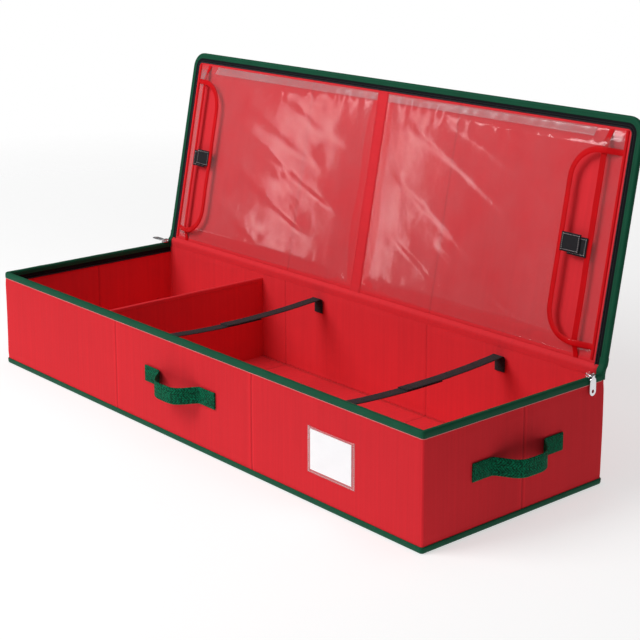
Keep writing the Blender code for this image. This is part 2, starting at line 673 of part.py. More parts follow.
def lip(side, name, clear, red, black, parent):
    """The clear strip behind a mouth, its taped edge, and the hook-and-loop closure across the gap."""
    seam, edge = POCKET_END - CLEARANCE, LIP_EDGE
    base = LID_STAND_OFF - CLEARANCE
    slope = POCKET_LIP_DEPTH / LIP_WIDTH
    low, high = POCKET_FOOT + POCKET_FOOT_SLOPE + LIP_END_ROOM, POCKET_HEAD - POCKET_HEAD_SLOPE - LIP_END_ROOM

    def layer(label_name, x_far, x_near, depth, thick, look):
        corners = [(x_near, base - (seam - x_near) * slope - depth), (x_far, base - (seam - x_far) * slope - depth)]
        section = [corners[0], corners[1], (x_far, corners[1][1] - thick), (x_near, corners[0][1] - thick)]
        rings = [[(side * x, n, u) for x, n in section] for u in (low, high)]
        loft(label_name, rings, look, parent=parent)

    layer(f"{name}_pocket_lip", seam, edge, 0, LIP_FILM, clear)
    layer(f"{name}_lip_tape", edge + LIP_TAPE_WIDTH, edge, LIP_FILM + CLEARANCE, POCKET_TAPE, red)
    patch_back = base - (seam - edge) * slope - LIP_FILM - 2 * CLEARANCE - POCKET_TAPE
    middle = CLOSURE_FROM_HINGE - PATCH_DROP
    patch = sorted((side * (edge + PATCH_SEWN), side * (edge + PATCH_SEWN - PATCH_LENGTH)))
    half = CLOSURE_HEIGHT / 2
    block(
        f"{name}_closure_patch", (patch[0], patch_back - CLOSURE, middle - half),
        (patch[1], patch_back, middle + half), black, parent=parent,
    )
    tab_back = film_back(MOUTH_EDGE, CLOSURE_FROM_HINGE) - FILM - POCKET_TAPE - 2 * CLEARANCE
    tab = sorted((side * (MOUTH_EDGE - TAB_SEWN), side * (MOUTH_EDGE - TAB_SEWN + TAB_LENGTH)))
    block(
        f"{name}_closure_tab", (tab[0], tab_back - CLOSURE, CLOSURE_FROM_HINGE - half),
        (tab[1], tab_back, CLOSURE_FROM_HINGE + half), black, parent=parent,
    )


def pockets(parent, clear, red, black):
    """Both clear pockets, and the band over their inner edges."""
    band_back = LID_STAND_OFF - 2 * CLEARANCE - FILM
    block(
        "lid_centre_band", (-CENTRE_BAND_HALF_WIDTH, band_back - POCKET_TAPE, POCKET_FOOT),
        (CENTRE_BAND_HALF_WIDTH, band_back, POCKET_HEAD), red, parent=parent,
    )
    for side, name in ((-1, "left"), (1, "right")):
        film_sheet(f"{name}_pocket_film", side, clear, parent)
        mouth_tape(f"{name}_mouth_tape", side, red, parent)
        lip(side, name, clear, red, black, parent)


def build():
    for old in list(bpy.data.objects):
        bpy.data.objects.remove(old)
    red = finish("red_cloth", (0.68, 0.03, 0.04), 0.75)
    lining = finish("red_lining", (0.72, 0.03, 0.04), 0.65)
    brown = finish("stiffener_board", (0.45, 0.33, 0.20), 0.90)
    green = finish("green_binding", (0.01, 0.10, 0.05), 0.60)
    webbing = finish("green_webbing", (0.01, 0.14, 0.07), 0.70)
    black = finish("black_zip_tape", (0.010, 0.010, 0.012), 0.70)
    strap = finish("black_webbing", (0.030, 0.030, 0.032), 0.75)
    clear = finish("clear_film", (0.95, 0.95, 0.97), 0.08, alpha=0.25)
    tape = finish("red_tape", (0.62, 0.01, 0.02), 0.40)
    hooks = finish("hook_and_loop", (0.020, 0.020, 0.022), 0.90)
    metal = finish("zip_metal", (0.80, 0.80, 0.82), 0.25, metallic=1.0)
    card = finish("white_card", (0.93, 0.93, 0.92), 0.60)

    block("base_cloth", (-HALF_LENGTH, -HALF_DEPTH, 0), (HALF_LENGTH, HALF_DEPTH, CLOTH), red)
    walls("outer_shell", 0, BOARD_IN, red, creased=True, floored=False)
    walls("inner_lining", LINING_IN, LINING_IN, lining, creased=False, floored=True)
    boards(brown)
    rim_trim(green, black)
    base_trim(green)
    hinge_strip(red)
    handle("front_handle", webbing, FRONT_HANDLE_HEIGHT, (0, -HALF_DEPTH), (1, 0), (0, -1))
    handle("left_handle", webbing, SIDE_HANDLE_HEIGHT, (-HALF_LENGTH, 0), (0, 1), (-1, 0))
    handle("right_handle", webbing, SIDE_HANDLE_HEIGHT, (HALF_LENGTH, 0), (0, 1), (1, 0))
    label(clear, card)
    divider(red, brown)
    straps(strap)
    right_pivot = slider(1, "right", metal, RIGHT_SLIDER_FROM_BACK)
    left_pivot = slider(-1, "left", metal, LEFT_SLIDER_FROM_BACK)
    pull("right_zip_pull", metal, right_pivot, 0)
    pull("left_zip_pull", metal, left_pivot, math.pi / 2)

    lid = empty("lid_hinge", (0, HINGE_Y, HINGE_Z), (-math.radians(LID_LEAN_DEG), 0, 0))
    lid_shell(lid, red, lining, brown, green, black)
    pockets(lid, clear, tape, hooks)


build()
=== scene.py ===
import json
import math
import bpy
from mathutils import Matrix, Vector, noise


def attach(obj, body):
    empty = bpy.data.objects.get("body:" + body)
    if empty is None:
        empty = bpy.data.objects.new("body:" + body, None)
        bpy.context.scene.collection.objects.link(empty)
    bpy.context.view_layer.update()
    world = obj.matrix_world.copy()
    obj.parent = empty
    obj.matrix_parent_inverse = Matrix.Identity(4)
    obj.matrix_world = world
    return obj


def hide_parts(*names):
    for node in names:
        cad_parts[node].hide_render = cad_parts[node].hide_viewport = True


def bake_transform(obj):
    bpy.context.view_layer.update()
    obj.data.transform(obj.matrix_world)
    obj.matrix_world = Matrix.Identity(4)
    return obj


# A gift wrap organizer: a long cloth box, its zipped lid open, with two clear pockets. Sizes are in metres.
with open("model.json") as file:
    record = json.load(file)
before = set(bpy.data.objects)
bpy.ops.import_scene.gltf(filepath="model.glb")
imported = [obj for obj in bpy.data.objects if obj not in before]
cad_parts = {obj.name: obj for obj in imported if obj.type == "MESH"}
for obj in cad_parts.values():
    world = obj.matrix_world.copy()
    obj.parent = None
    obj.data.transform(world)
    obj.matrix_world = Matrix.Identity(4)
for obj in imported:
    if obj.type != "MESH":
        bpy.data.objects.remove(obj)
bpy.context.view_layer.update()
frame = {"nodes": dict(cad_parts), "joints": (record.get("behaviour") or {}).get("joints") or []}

joints = {joint["name"]: joint for joint in frame["joints"]}
hingeSpot = joints["lid_hinge"]["pos_m"]
box = {
    "halfLength": 0.520, "halfDepth": 0.178, "wall": 0.0056, "rimTop": 0.1620,
    "backTop": 0.1690, "cornerRadius": 0.0032, "creaseX": 0.17333, "creaseY": 0.0110,
}
lid = {
    "hingeY": hingeSpot[1], "hingeZ": hingeSpot[2], "lean": math.radians(11.0), "top": 0.3532,
    "cornerRadius": 0.025, "foot": 0.0005, "liningN": 0.0015, "coverN": 0.0071,
}
cloth = {
    "thick": 0.0008, "innerThick": 0.0006, "foldDepth": 0.0007, "foldWidth": 0.0012, "foldShade": 0.0014,
}
signs = {"left": -1, "right": 1}
xWay, yWay, zWay = Vector((1, 0, 0)), Vector((0, 1, 0)), Vector((0, 0, 1))


# Small tools

def smoothStep(low, high, value):
    share = min(1.0, max(0.0, (value - low) / (high - low)))
    return share * share * (3 - 2 * share)


def peak(distance, width):
    return math.exp(-((distance / width) ** 2))


def waves(x, y, size, seed):
    return noise.noise(Vector((x / size, y / size, seed)))


def spread(low, high, step):
    count = max(1, round((high - low) / step))
    return [low + (high - low) * k / count for k in range(count + 1)]


def withCreases(places, creases):
    # Extra columns at each fold, so that it stays crisp
    kept = [p for p in places if all(abs(p - c) > 0.0045 for c in creases)]
    for c in creases:
        kept += [c - 0.0035, c - 0.0015, c, c + 0.0015, c + 0.0035]
    return sorted(kept)


def acrossFolds(half, step):
    return withCreases(spread(-half, half, step), [-box["creaseX"], box["creaseX"]])


def longFoldGap(x):
    return abs(abs(x) - box["creaseX"])


def foldDepth(gap):
    return -cloth["foldDepth"] * peak(gap, cloth["foldWidth"]) + 0.0002 * peak(gap - 0.0038, 0.0016)


def creaseShare(gap):
    return peak(gap, cloth["foldShade"])


def cornerArc(x, y, radius, start, count, turn=1):
    # Points inside a quarter turn from the angle `start`: (x, y, out x, out y)
    angles = [start + turn * math.pi / 2 * k / count for k in range(1, count)]
    return [(x + radius * math.cos(a), y + radius * math.sin(a), math.cos(a), math.sin(a)) for a in angles]


def lidPoint(x, n, u):
    # The lid's own frame: x along the box, n out through its back, u up from the hinge
    c, s = math.cos(lid["lean"]), math.sin(lid["lean"])
    return Vector((x, lid["hingeY"] + n * c + u * s, lid["hingeZ"] + u * c - n * s))


def lidWay(x, n, u):
    return lidPoint(x, n, u) - lidPoint(0, 0, 0)


def lidYz(n, u):
    return tuple(lidPoint(0, n, u))[1:]


def newObject(name, points, faces, uvs=None):
    mesh = bpy.data.meshes.new(name)
    mesh.from_pydata([tuple(p) for p in points], [], faces)
    if uvs:
        layer = mesh.uv_layers.new(name="UVMap")
        for polygon, corners in zip(mesh.polygons, uvs):
            for loop, uv in zip(polygon.loop_indices, corners):
                layer.data[loop].uv = uv
    mesh.shade_smooth()
    made = bpy.data.objects.new(name, mesh)
    bpy.context.scene.collection.objects.link(made)
    return made


def gridObject(name, rows, uvRows, closed=False, flip=False):
    # Rows of points, each with a uv in metres; closed joins the last row to the first
    count = len(rows[0])
    points = [p for row in rows for p in row]
    faces, uvs = [], []
    for k in range(len(rows) - (0 if closed else 1)):
        n = (k + 1) % len(rows)
        for i in range(count - 1):
            face = [k * count + i, n * count + i, n * count + i + 1, k * count + i + 1]
            corners = [uvRows[k][i], uvRows[k + 1][i], uvRows[k + 1][i + 1], uvRows[k][i + 1]]
            faces.append(face[::-1] if flip else face)
            uvs.append(corners[::-1] if flip else corners)
    return newObject(name, points, faces, uvs)


def sheetOver(name, firsts, seconds, spot, flip=False):
    # A sheet over two runs of places, where spot(a, b) gives the point and its uv
    cells = [[spot(a, b) for b in seconds] for a in firsts]
    rows, uvRows = ([[cell[k] for cell in row] for row in cells] for k in (0, 1))
    return gridObject(name, rows, uvRows, flip=flip)


def markRows(made, name, shares):
    # One share for each row of points: a painted shade that darkens a fold in the cloth, or a painted
    # highlight that lightens an edge
    width = len(made.data.vertices) // len(shares)
    values = [share for share in shares for _ in range(width)]
    made.data.attributes.new(name, "FLOAT", "POINT").data.foreach_set("value", values)


def sharpen(made, degrees):
    made.data.set_sharp_from_angle(angle=math.radians(degrees))


def outwards(made):
    # Turns a closed shape's faces the right way by the sign of its volume
    points = [v.co for v in made.data.vertices]
    volume = sum(
        points[f.vertices[0]].dot(points[f.vertices[m - 1]].cross(points[f.vertices[m]]))
        for f in made.data.polygons for m in range(2, len(f.vertices))
    )
    if volume < 0:
        made.data.flip_normals()


def tubeFaces(rings, count, closed):
    # Faces between rings of `count` points, with the ring and the place in it for each corner's uv
    faces, corners = [], []
    for k in range(rings - (0 if closed else 1)):
        n = (k + 1) % rings
        for i in range(count):
            j = (i + 1) % count
            faces.append([k * count + i, k * count + j, n * count + j, n * count + i])
            corners.append([(k, i), (k, i + 1), (k + 1, i + 1), (k + 1, i)])
    return faces, corners


def endFaces(rings, count):
    last = (rings - 1) * count
    return [list(range(count))[::-1], [last + i for i in range(count)]]


def sweptObject(name, stations, profile, closed=False, sharp=50.0):
    # A closed profile of (a, b) carried along stations of (origin, way of a, way of b)
    points = [origin + wayA * a + wayB * b for origin, wayA, wayB in stations for a, b in profile]
    around = [0.0]
    for (a, b), (c, d) in zip(profile, profile[1:] + profile[:1]):
        around.append(around[-1] + math.hypot(c - a, d - b))
    along = [0.0]
    for (p, _, _), (q, _, _) in zip(stations, stations[1:] + (stations[:1] if closed else [])):
        along.append(along[-1] + (q - p).length)
    faces, corners = tubeFaces(len(stations), len(profile), closed)
    uvs = [[(along[k], around[i]) for k, i in four] for four in corners]
    if not closed:
        faces += endFaces(len(stations), len(profile))
        uvs += [profile[::-1], list(profile)]
    made = newObject(name, points, faces, uvs)
    outwards(made)
    sharpen(made, sharp)
    return made


def smoothRun(points, count):
    # An even run of points on a smooth curve through the given ones
    result = []
    for k in range(count + 1):
        t = k / count * (len(points) - 1)
        i = min(int(t), len(points) - 2)
        f = t - i
        four = points[max(i - 1, 0)], points[i], points[i + 1], points[min(i + 2, len(points) - 1)]
        result.append(tuple(
            0.5 * (2 * b + (c - a) * f + (2 * a - 5 * b + 4 * c - d) * f ** 2
                   + (3 * b - a - 3 * c + d) * f ** 3)
            for a, b, c, d in zip(*four)
        ))
    return result


def giveThickness(made, thickness, offset=-1.0):
    step = made.modifiers.new("thickness", "SOLIDIFY")
    step.thickness = thickness
    step.offset = offset
    return made


def settle(made):
    # Turns live modifiers into plain mesh
    bpy.context.view_layer.update()
    deps = bpy.context.evaluated_depsgraph_get()
    final = made.evaluated_get(deps)
    mesh = bpy.data.meshes.new_from_object(final, preserve_all_data_layers=True, depsgraph=deps)
    made.modifiers.clear()
    made.data = mesh
    return made


def place(made, look, body, slot, nodes=()):
    made.data.materials.clear()
    made.data.materials.append(look)
    if body:
        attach(made, body)
    if nodes:
        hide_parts(*nodes)
    return made


# Materials

def material(name, colour, roughness, **values):
    made = bpy.data.materials.new(name)
    made.use_nodes = True
    shader = made.node_tree.nodes["Principled BSDF"]
    shader.inputs["Base Color"].default_value = (*colour, 1)
    shader.inputs["Roughness"].default_value = roughness
    for key, value in values.items():
        shader.inputs[key.replace("_", " ")].default_value = value
    return made, made.node_tree, shader


def calculate(tree, kind, a, b=None):
    node = tree.nodes.new("ShaderNodeMath")
    node.operation = kind
    for socket, value in zip(node.inputs, (a, b)):
        if isinstance(value, (int, float)):
            socket.default_value = value
        elif value is not None:
            tree.links.new(value, socket)
    return node.outputs[0]


def uvParts(tree):
    coordinates = tree.nodes.new("ShaderNodeTexCoord")
    parts = tree.nodes.new("ShaderNodeSeparateXYZ")
    tree.links.new(coordinates.outputs["UV"], parts.inputs[0])
    return parts.outputs[0], parts.outputs[1]


def sineAt(tree, place, pitch):
    return calculate(tree, "SINE", calculate(tree, "MULTIPLY", place, math.pi / pitch))


def ribsAt(tree, place, pitch):
    # Ridges at an even pitch, as a height from 0 to 1
    return calculate(tree, "ABSOLUTE", sineAt(tree, place, pitch))


def twoHeights(tree, a, b, share):
    # `share` of a and the rest of b
    parts = [calculate(tree, "MULTIPLY", height, part) for height, part in ((a, share), (b, 1 - share))]
    return calculate(tree, "ADD", *parts)


def plainWeave(tree, u, v, pitch):
    # Threads over and under each other, as a height from 0 to 1
    a, b = sineAt(tree, u, pitch), sineAt(tree, v, pitch)
    top = calculate(tree, "GREATER_THAN", calculate(tree, "MULTIPLY", a, b), 0.0)
    absA, absB = calculate(tree, "ABSOLUTE", a), calculate(tree, "ABSOLUTE", b)
    threads = []
    for mine, other in ((absA, absB), (absB, absA)):
        dip = calculate(tree, "ADD", calculate(tree, "MULTIPLY", other, 0.4), 0.6)
        threads.append(calculate(tree, "MULTIPLY", mine, dip))
    under = calculate(tree, "SUBTRACT", 1.0, top)
    shown = [calculate(tree, "MULTIPLY", thread, side) for thread, side in zip(threads, (top, under))]
    return calculate(tree, "ADD", *shown)


def chevronWeave(tree, u, v, pitch, band):
    # Slanted ribs that turn back at every band, as on webbing
    slant = calculate(tree, "ADD", u, calculate(tree, "PINGPONG", v, band))
    return twoHeights(tree, ribsAt(tree, slant, pitch), ribsAt(tree, v, pitch * 0.8), 0.75)


def noiseOn(tree, scale, stretch=(1, 1, 1), source="Object", detail=3.0, roughness=0.55):
    coordinates = tree.nodes.new("ShaderNodeTexCoord")
    mapping = tree.nodes.new("ShaderNodeMapping")
    mapping.inputs["Scale"].default_value = stretch
    texture = tree.nodes.new("ShaderNodeTexNoise")
    texture.inputs["Scale"].default_value = scale
    texture.inputs["Detail"].default_value = detail
    texture.inputs["Roughness"].default_value = roughness
    tree.links.new(coordinates.outputs[source], mapping.inputs[0])
    tree.links.new(mapping.outputs[0], texture.inputs["Vector"])
    return texture.outputs["Fac"]


def toRange(tree, value, low, high, fromLow=0.0, fromHigh=1.0):
    node = tree.nodes.new("ShaderNodeMapRange")
    tree.links.new(value, node.inputs["Value"])
    node.inputs["From Min"].default_value = fromLow
    node.inputs["From Max"].default_value = fromHigh
    node.inputs["To Min"].default_value = low
    node.inputs["To Max"].default_value = high
    return node.outputs["Result"]


def roughen(tree, shader, pattern, low, high):
    tree.links.new(toRange(tree, pattern, low, high), shader.inputs["Roughness"])


def named(tree, attribute):
    node = tree.nodes.new("ShaderNodeAttribute")
    node.attribute_name = attribute
    return node.outputs["Fac"]


def tint(tree, shader, colour, factors):
    # The base colour times each factor
    node = tree.nodes.new("ShaderNodeVectorMath")
    node.operation = "SCALE"
    node.inputs[0].default_value = colour
    product = factors[0]
    for factor in factors[1:]:
        product = calculate(tree, "MULTIPLY", product, factor)
    tree.links.new(product, node.inputs["Scale"])
    tree.links.new(node.outputs[0], shader.inputs["Base Color"])


def bump(tree, shader, height, strength, distance, under=None):
    node = tree.nodes.new("ShaderNodeBump")
    node.inputs["Strength"].default_value = strength
    node.inputs["Distance"].default_value = distance
    tree.links.new(height, node.inputs["Height"])
    if under is not None:
        tree.links.new(under, node.inputs["Normal"])
    tree.links.new(node.outputs[0], shader.inputs["Normal"])
    return node.outputs[0]


def clothLook(name, colour, s):
    made, tree, shader = material(
        name, colour, s["roughness"],
        Sheen_Weight=s["sheen"], Sheen_Roughness=0.45, Specular_IOR_Level=0.12,
    )
    weave = plainWeave(tree, *uvParts(tree), s["pitch"])
    streaks = noiseOn(tree, 1.0, (1 / s["streak"], 5.0, 1.0), "UV", 4.0)
    clouds = noiseOn(tree, 9.0)
    # Painted shade darkens the folds, and a painted highlight lightens the rounded corners and a line beside
    # each fold
    crease, worn = named(tree, "crease"), named(tree, "worn")
    tint(tree, shader, colour, [
        toRange(tree, crease, 1.0, 1 - s["creaseShade"]),
        toRange(tree, worn, 1.0, 1.22),
        toRange(tree, weave, 1 - s["weaveShade"], 1.0),
        toRange(tree, streaks, 1 - s["streakShade"], 1 + s["streakShade"], 0.25, 0.75),
        toRange(tree, clouds, 0.975, 1.025, 0.3, 0.7),
    ])
    roughen(tree, shader, noiseOn(tree, 260.0), s["roughness"] - 0.06, s["roughness"] + 0.06)
    fine = bump(tree, shader, weave, s["bump"], 0.0003)
    bump(tree, shader, noiseOn(tree, 42.0), 0.25, 0.0012, fine)
    return made


def webbingLook(name, colour, s):
    made, tree, shader = material(
        name, colour, s["roughness"], Sheen_Weight=s["sheen"], Specular_IOR_Level=0.08,
    )
    weave = chevronWeave(tree, *uvParts(tree), s["pitch"], s["band"])
    speckle = noiseOn(tree, s["fleckScale"], detail=4.0)
    tint(tree, shader, colour, [
        toRange(tree, weave, 1 - s["weaveShade"], 1.62),
        toRange(tree, speckle, 0.45, 1.60, 0.5 - s["fleck"], 0.5 + s["fleck"]),
    ])
    roughen(tree, shader, speckle, s["roughness"] - 0.08, s["roughness"] + 0.1)
    bump(tree, shader, weave, s["bump"], 0.0006)
    return made


def tapeLook(name, colour, s):
    # Ribs across the tape and finer lines along it
    made, tree, shader = material(
        name, colour, s["roughness"], Sheen_Weight=s["sheen"], Specular_IOR_Level=s["gloss"],
    )
    u, v = uvParts(tree)
    height = twoHeights(tree, ribsAt(tree, u, s["pitch"]), ribsAt(tree, v, s["pitch"] * 1.6), 0.6)
    tint(tree, shader, colour, [
        toRange(tree, height, 0.82, 1.06),
        toRange(tree, noiseOn(tree, 30.0), 0.92, 1.08, 0.3, 0.7),
    ])
    roughen(tree, shader, noiseOn(tree, 320.0), s["roughness"] - 0.05, s["roughness"] + 0.08)
    bump(tree, shader, height, s["bump"], 0.0003)
    return made


def filmLook(name, s):
    # Clear vinyl: see-through, with a gloss that grows towards grazing view and a faint milky haze
    made, tree, shader = material(name, (0.94, 0.93, 0.94), s["roughness"], Metallic=s["gloss"])
    clear = tree.nodes.new("ShaderNodeBsdfTransparent")
    clear.inputs[0].default_value = (0.985, 0.985, 0.99, 1)
    facing = tree.nodes.new("ShaderNodeLayerWeight")
    facing.inputs["Blend"].default_value = 0.5
    grazing = calculate(tree, "POWER", facing.outputs["Facing"], 4.0)
    haze = toRange(tree, noiseOn(tree, 14.0), s["haze"] * 0.7, s["haze"] * 1.3, 0.3, 0.7)
    share = calculate(tree, "ADD", haze, calculate(tree, "MULTIPLY", grazing, s["mirror"]))
    share = calculate(tree, "MINIMUM", share, 0.95)
    mix = tree.nodes.new("ShaderNodeMixShader")
    for source, socket in zip((share, clear.outputs[0], shader.outputs[0]), mix.inputs):
        tree.links.new(source, socket)
    tree.links.new(mix.outputs[0], tree.nodes["Material Output"].inputs["Surface"])
    roughen(tree, shader, noiseOn(tree, 60.0), s["roughness"], s["roughness"] + 0.05)
    fine = bump(tree, shader, noiseOn(tree, 22.0), s["ripple"], 0.0015)
    bump(tree, shader, noiseOn(tree, 130.0), s["ripple"] * 0.3, 0.0006, fine)
    return made


def metalLook(name, colour):
    made, tree, shader = material(name, colour, 0.16, Metallic=1.0)
    scratches = noiseOn(tree, 900.0, (1, 1, 0.15))
    roughen(tree, shader, scratches, 0.10, 0.30)
    tint(tree, shader, colour, [toRange(tree, noiseOn(tree, 220.0), 0.88, 1.05)])
    bump(tree, shader, scratches, 0.08, 0.0002)
    return made


def speckledLook(name, colour, roughness, scale, contrast, depth):
    made, tree, shader = material(name, colour, roughness, Specular_IOR_Level=0.2)
    grain = noiseOn(tree, scale, detail=5.0)
    tint(tree, shader, colour, [toRange(tree, grain, 1 - contrast, 1 + contrast, 0.3, 0.7)])
    roughen(tree, shader, grain, roughness - 0.05, min(1.0, roughness + 0.05))
    bump(tree, shader, grain, 0.5, depth)
    return made


redCloth = clothLook("redCloth", (0.745, 0.022, 0.032), {
    "roughness": 0.80, "sheen": 0.03, "pitch": 0.0009, "streak": 0.0042, "weaveShade": 0.14,
    "streakShade": 0.045, "creaseShade": 0.26, "bump": 0.35,
})
# The lining's red is lighter than the outer cloth's. Part of this is its own smoother, paler cloth, and part
# is painted light that makes up for the dimmer light inside the box and the lid
redLining = clothLook("redLining", (0.860, 0.034, 0.046), {
    "roughness": 0.74, "sheen": 0.03, "pitch": 0.0010, "streak": 0.0060, "weaveShade": 0.10,
    "streakShade": 0.04, "creaseShade": 0.20, "bump": 0.25,
})
greenBinding = tapeLook("greenBinding", (0.0030, 0.0850, 0.0400), {
    "roughness": 0.60, "sheen": 0.02, "gloss": 0.14, "pitch": 0.0010, "bump": 0.45,
})
redTape = tapeLook("redTape", (0.720, 0.0020, 0.0060), {
    "roughness": 0.50, "sheen": 0.00, "gloss": 0.10, "pitch": 0.0008, "bump": 0.35,
})
blackTape = tapeLook("blackTape", (0.0050, 0.0045, 0.0075), {
    "roughness": 0.72, "sheen": 0.01, "gloss": 0.12, "pitch": 0.0007, "bump": 0.45,
})
greenWebbing = webbingLook("greenWebbing", (0.0005, 0.0830, 0.0380), {
    "roughness": 0.66, "sheen": 0.00, "pitch": 0.0042, "band": 0.0078, "weaveShade": 0.80, "bump": 1.0,
    "fleckScale": 340.0, "fleck": 0.11,
})
blackWebbing = webbingLook("blackWebbing", (0.0260, 0.0260, 0.0280), {
    "roughness": 0.66, "sheen": 0.03, "pitch": 0.0014, "band": 0.0033, "weaveShade": 0.35, "bump": 0.6,
    "fleckScale": 480.0, "fleck": 0.20,
})
clearFilm = filmLook("clearFilm", {
    "roughness": 0.07, "gloss": 0.50, "haze": 0.044, "mirror": 0.40, "ripple": 0.16,
})
clearHem = filmLook("clearHem", {
    "roughness": 0.20, "gloss": 0.30, "haze": 0.10, "mirror": 0.4, "ripple": 0.5,
})
zipMetal = metalLook("zipMetal", (0.83, 0.83, 0.85))
coilPlastic = speckledLook("coilPlastic", (0.050, 0.050, 0.058), 0.28, 900.0, 0.25, 0.0002)
hookFelt = speckledLook("hookFelt", (0.020, 0.020, 0.023), 0.92, 1400.0, 0.45, 0.0006)
cardPaper = speckledLook("cardPaper", (0.97, 0.97, 0.965), 0.55, 700.0, 0.015, 0.0001)
# Painted light: the card glows faintly, so it reads whiter than the lamps alone make it
glowingCardShader = cardPaper.node_tree.nodes["Principled BSDF"]
glowingCardShader.inputs["Emission Color"].default_value = (1, 1, 1, 1)
glowingCardShader.inputs["Emission Strength"].default_value = 0.14
fibreBoard = speckledLook("fibreBoard", (0.43, 0.31, 0.19), 0.88, 180.0, 0.18, 0.0004)
greenThread = speckledLook("greenThread", (0.012, 0.120, 0.060), 0.50, 2500.0, 0.15, 0.0001)
blackThread = speckledLook("blackThread", (0.020, 0.020, 0.022), 0.50, 2500.0, 0.15, 0.0001)
redThread = speckledLook("redThread", (0.560, 0.020, 0.028), 0.50, 2500.0, 0.15, 0.0001)
# Pale pink: a painted highlight for the cord under the rim binding
selvedgeThread = speckledLook("selvedgeThread", (0.80, 0.28, 0.28), 0.60, 2500.0, 0.12, 0.0001)
whiteThread = speckledLook("whiteThread", (0.78, 0.70, 0.70), 0.50, 2500.0, 0.10, 0.0001)
print("materials made")


# Repeats, made with Geometry Nodes

def repeatTree():
    # Small ovals set at an even pitch along a path, turned to it and to the path's "across" attribute
    tree = bpy.data.node_groups.new("repeatAlongPath", "GeometryNodeTree")
    for name, kind in (("Path", "Geometry"), ("Pitch", "Float"), ("Size", "Vector"), ("Look", "Material")):
        tree.interface.new_socket(name, in_out="INPUT", socket_type="NodeSocket" + kind)
    tree.interface.new_socket("Pieces", in_out="OUTPUT", socket_type="NodeSocketGeometry")
    new, link = tree.nodes.new, tree.links.new
    given, out = new("NodeGroupInput"), new("NodeGroupOutput")
    curve, resample = new("GeometryNodeMeshToCurve"), new("GeometryNodeResampleCurve")
    resample.mode = "LENGTH"
    link(given.outputs["Path"], curve.inputs[0])
    link(curve.outputs[0], resample.inputs["Curve"])
    link(given.outputs["Pitch"], resample.inputs["Length"])
    along, across = new("GeometryNodeInputTangent"), new("GeometryNodeInputNamedAttribute")
    across.data_type = "FLOAT_VECTOR"
    across.inputs["Name"].default_value = "across"
    first, second = new("FunctionNodeAlignRotationToVector"), new("FunctionNodeAlignRotationToVector")
    first.axis, second.axis, second.pivot_axis = "X", "Y", "X"
    link(along.outputs[0], first.inputs["Vector"])
    link(first.outputs[0], second.inputs["Rotation"])
    link(across.outputs[0], second.inputs["Vector"])
    oval = new("GeometryNodeMeshUVSphere")
    oval.inputs["Segments"].default_value = 6
    oval.inputs["Rings"].default_value = 4
    oval.inputs["Radius"].default_value = 0.5
    smooth = new("GeometryNodeSetShadeSmooth")
    link(oval.outputs[0], smooth.inputs[0])
    points = new("GeometryNodeInstanceOnPoints")
    link(resample.outputs[0], points.inputs["Points"])
    link(smooth.outputs[0], points.inputs["Instance"])
    link(second.outputs[0], points.inputs["Rotation"])
    link(given.outputs["Size"], points.inputs["Scale"])
    real, paint = new("GeometryNodeRealizeInstances"), new("GeometryNodeSetMaterial")
    link(points.outputs[0], real.inputs[0])
    link(real.outputs[0], paint.inputs["Geometry"])
    link(given.outputs["Look"], paint.inputs["Material"])
    link(paint.outputs[0], out.inputs[0])
    return tree


repeats = repeatTree()
seams = {  # pitch, size of one stitch or tooth (along, across, up), look
    "binding": (0.0034, (0.0026, 0.00055, 0.00055), greenThread),
    "divider": (0.0036, (0.0027, 0.0006, 0.0006), redThread),
    "zipTeeth": (0.0014, (0.0011, 0.0027, 0.0014), coilPlastic),
    "boxZip": (0.0030, (0.0022, 0.0005, 0.0016), blackThread),
    "lidZip": (0.0030, (0.0022, 0.0016, 0.0005), blackThread),
    "handle": (0.0028, (0.0022, 0.0005, 0.0006), greenThread),
    "strap": (0.0027, (0.0021, 0.0005, 0.0005), blackThread),
    "label": (0.0030, (0.0020, 0.0007, 0.0006), whiteThread),
    "redTape": (0.0028, (0.0021, 0.0005, 0.0005), redThread),
    "closure": (0.0026, (0.0019, 0.0006, 0.0006), whiteThread),
    "centreBand": (0.0032, (0.0024, 0.0005, 0.0005), redThread),
}


def repeatAlong(name, lines, seam, body, slot):
    # Several paths, each a list of (point, across)
    pitch, size, look = seams[seam]
    points, edges, across = [], [], []
    for line in lines:
        start = len(points)
        points += [tuple(p) for p, _ in line]
        across += [tuple(a) for _, a in line]
        edges += [(start + k, start + k + 1) for k in range(len(line) - 1)]
    mesh = bpy.data.meshes.new(name + "Path")
    mesh.from_pydata(points, edges, [])
    stored = mesh.attributes.new("across", "FLOAT_VECTOR", "POINT")
    stored.data.foreach_set("vector", [c for a in across for c in a])
    made = bpy.data.objects.new(name, mesh)
    bpy.context.scene.collection.objects.link(made)
    step = made.modifiers.new("repeat", "NODES")
    step.node_group = repeats
    sockets = {s.name: s.identifier for s in repeats.interface.items_tree if s.in_out == "INPUT"}
    step[sockets["Pitch"]] = pitch
    step[sockets["Size"]] = size
    step[sockets["Look"]] = look
    settle(made)
    return place(made, look, body, slot)


def straightLine(a, b, across, step=0.02):
    a, b = Vector(a), Vector(b)
    count = max(1, round((b - a).length / step))
    return [(a.lerp(b, k / count), Vector(across)) for k in range(count + 1)]


def fading(distance, reach):
    return math.exp(-abs(distance) / reach)


# The box's cloth

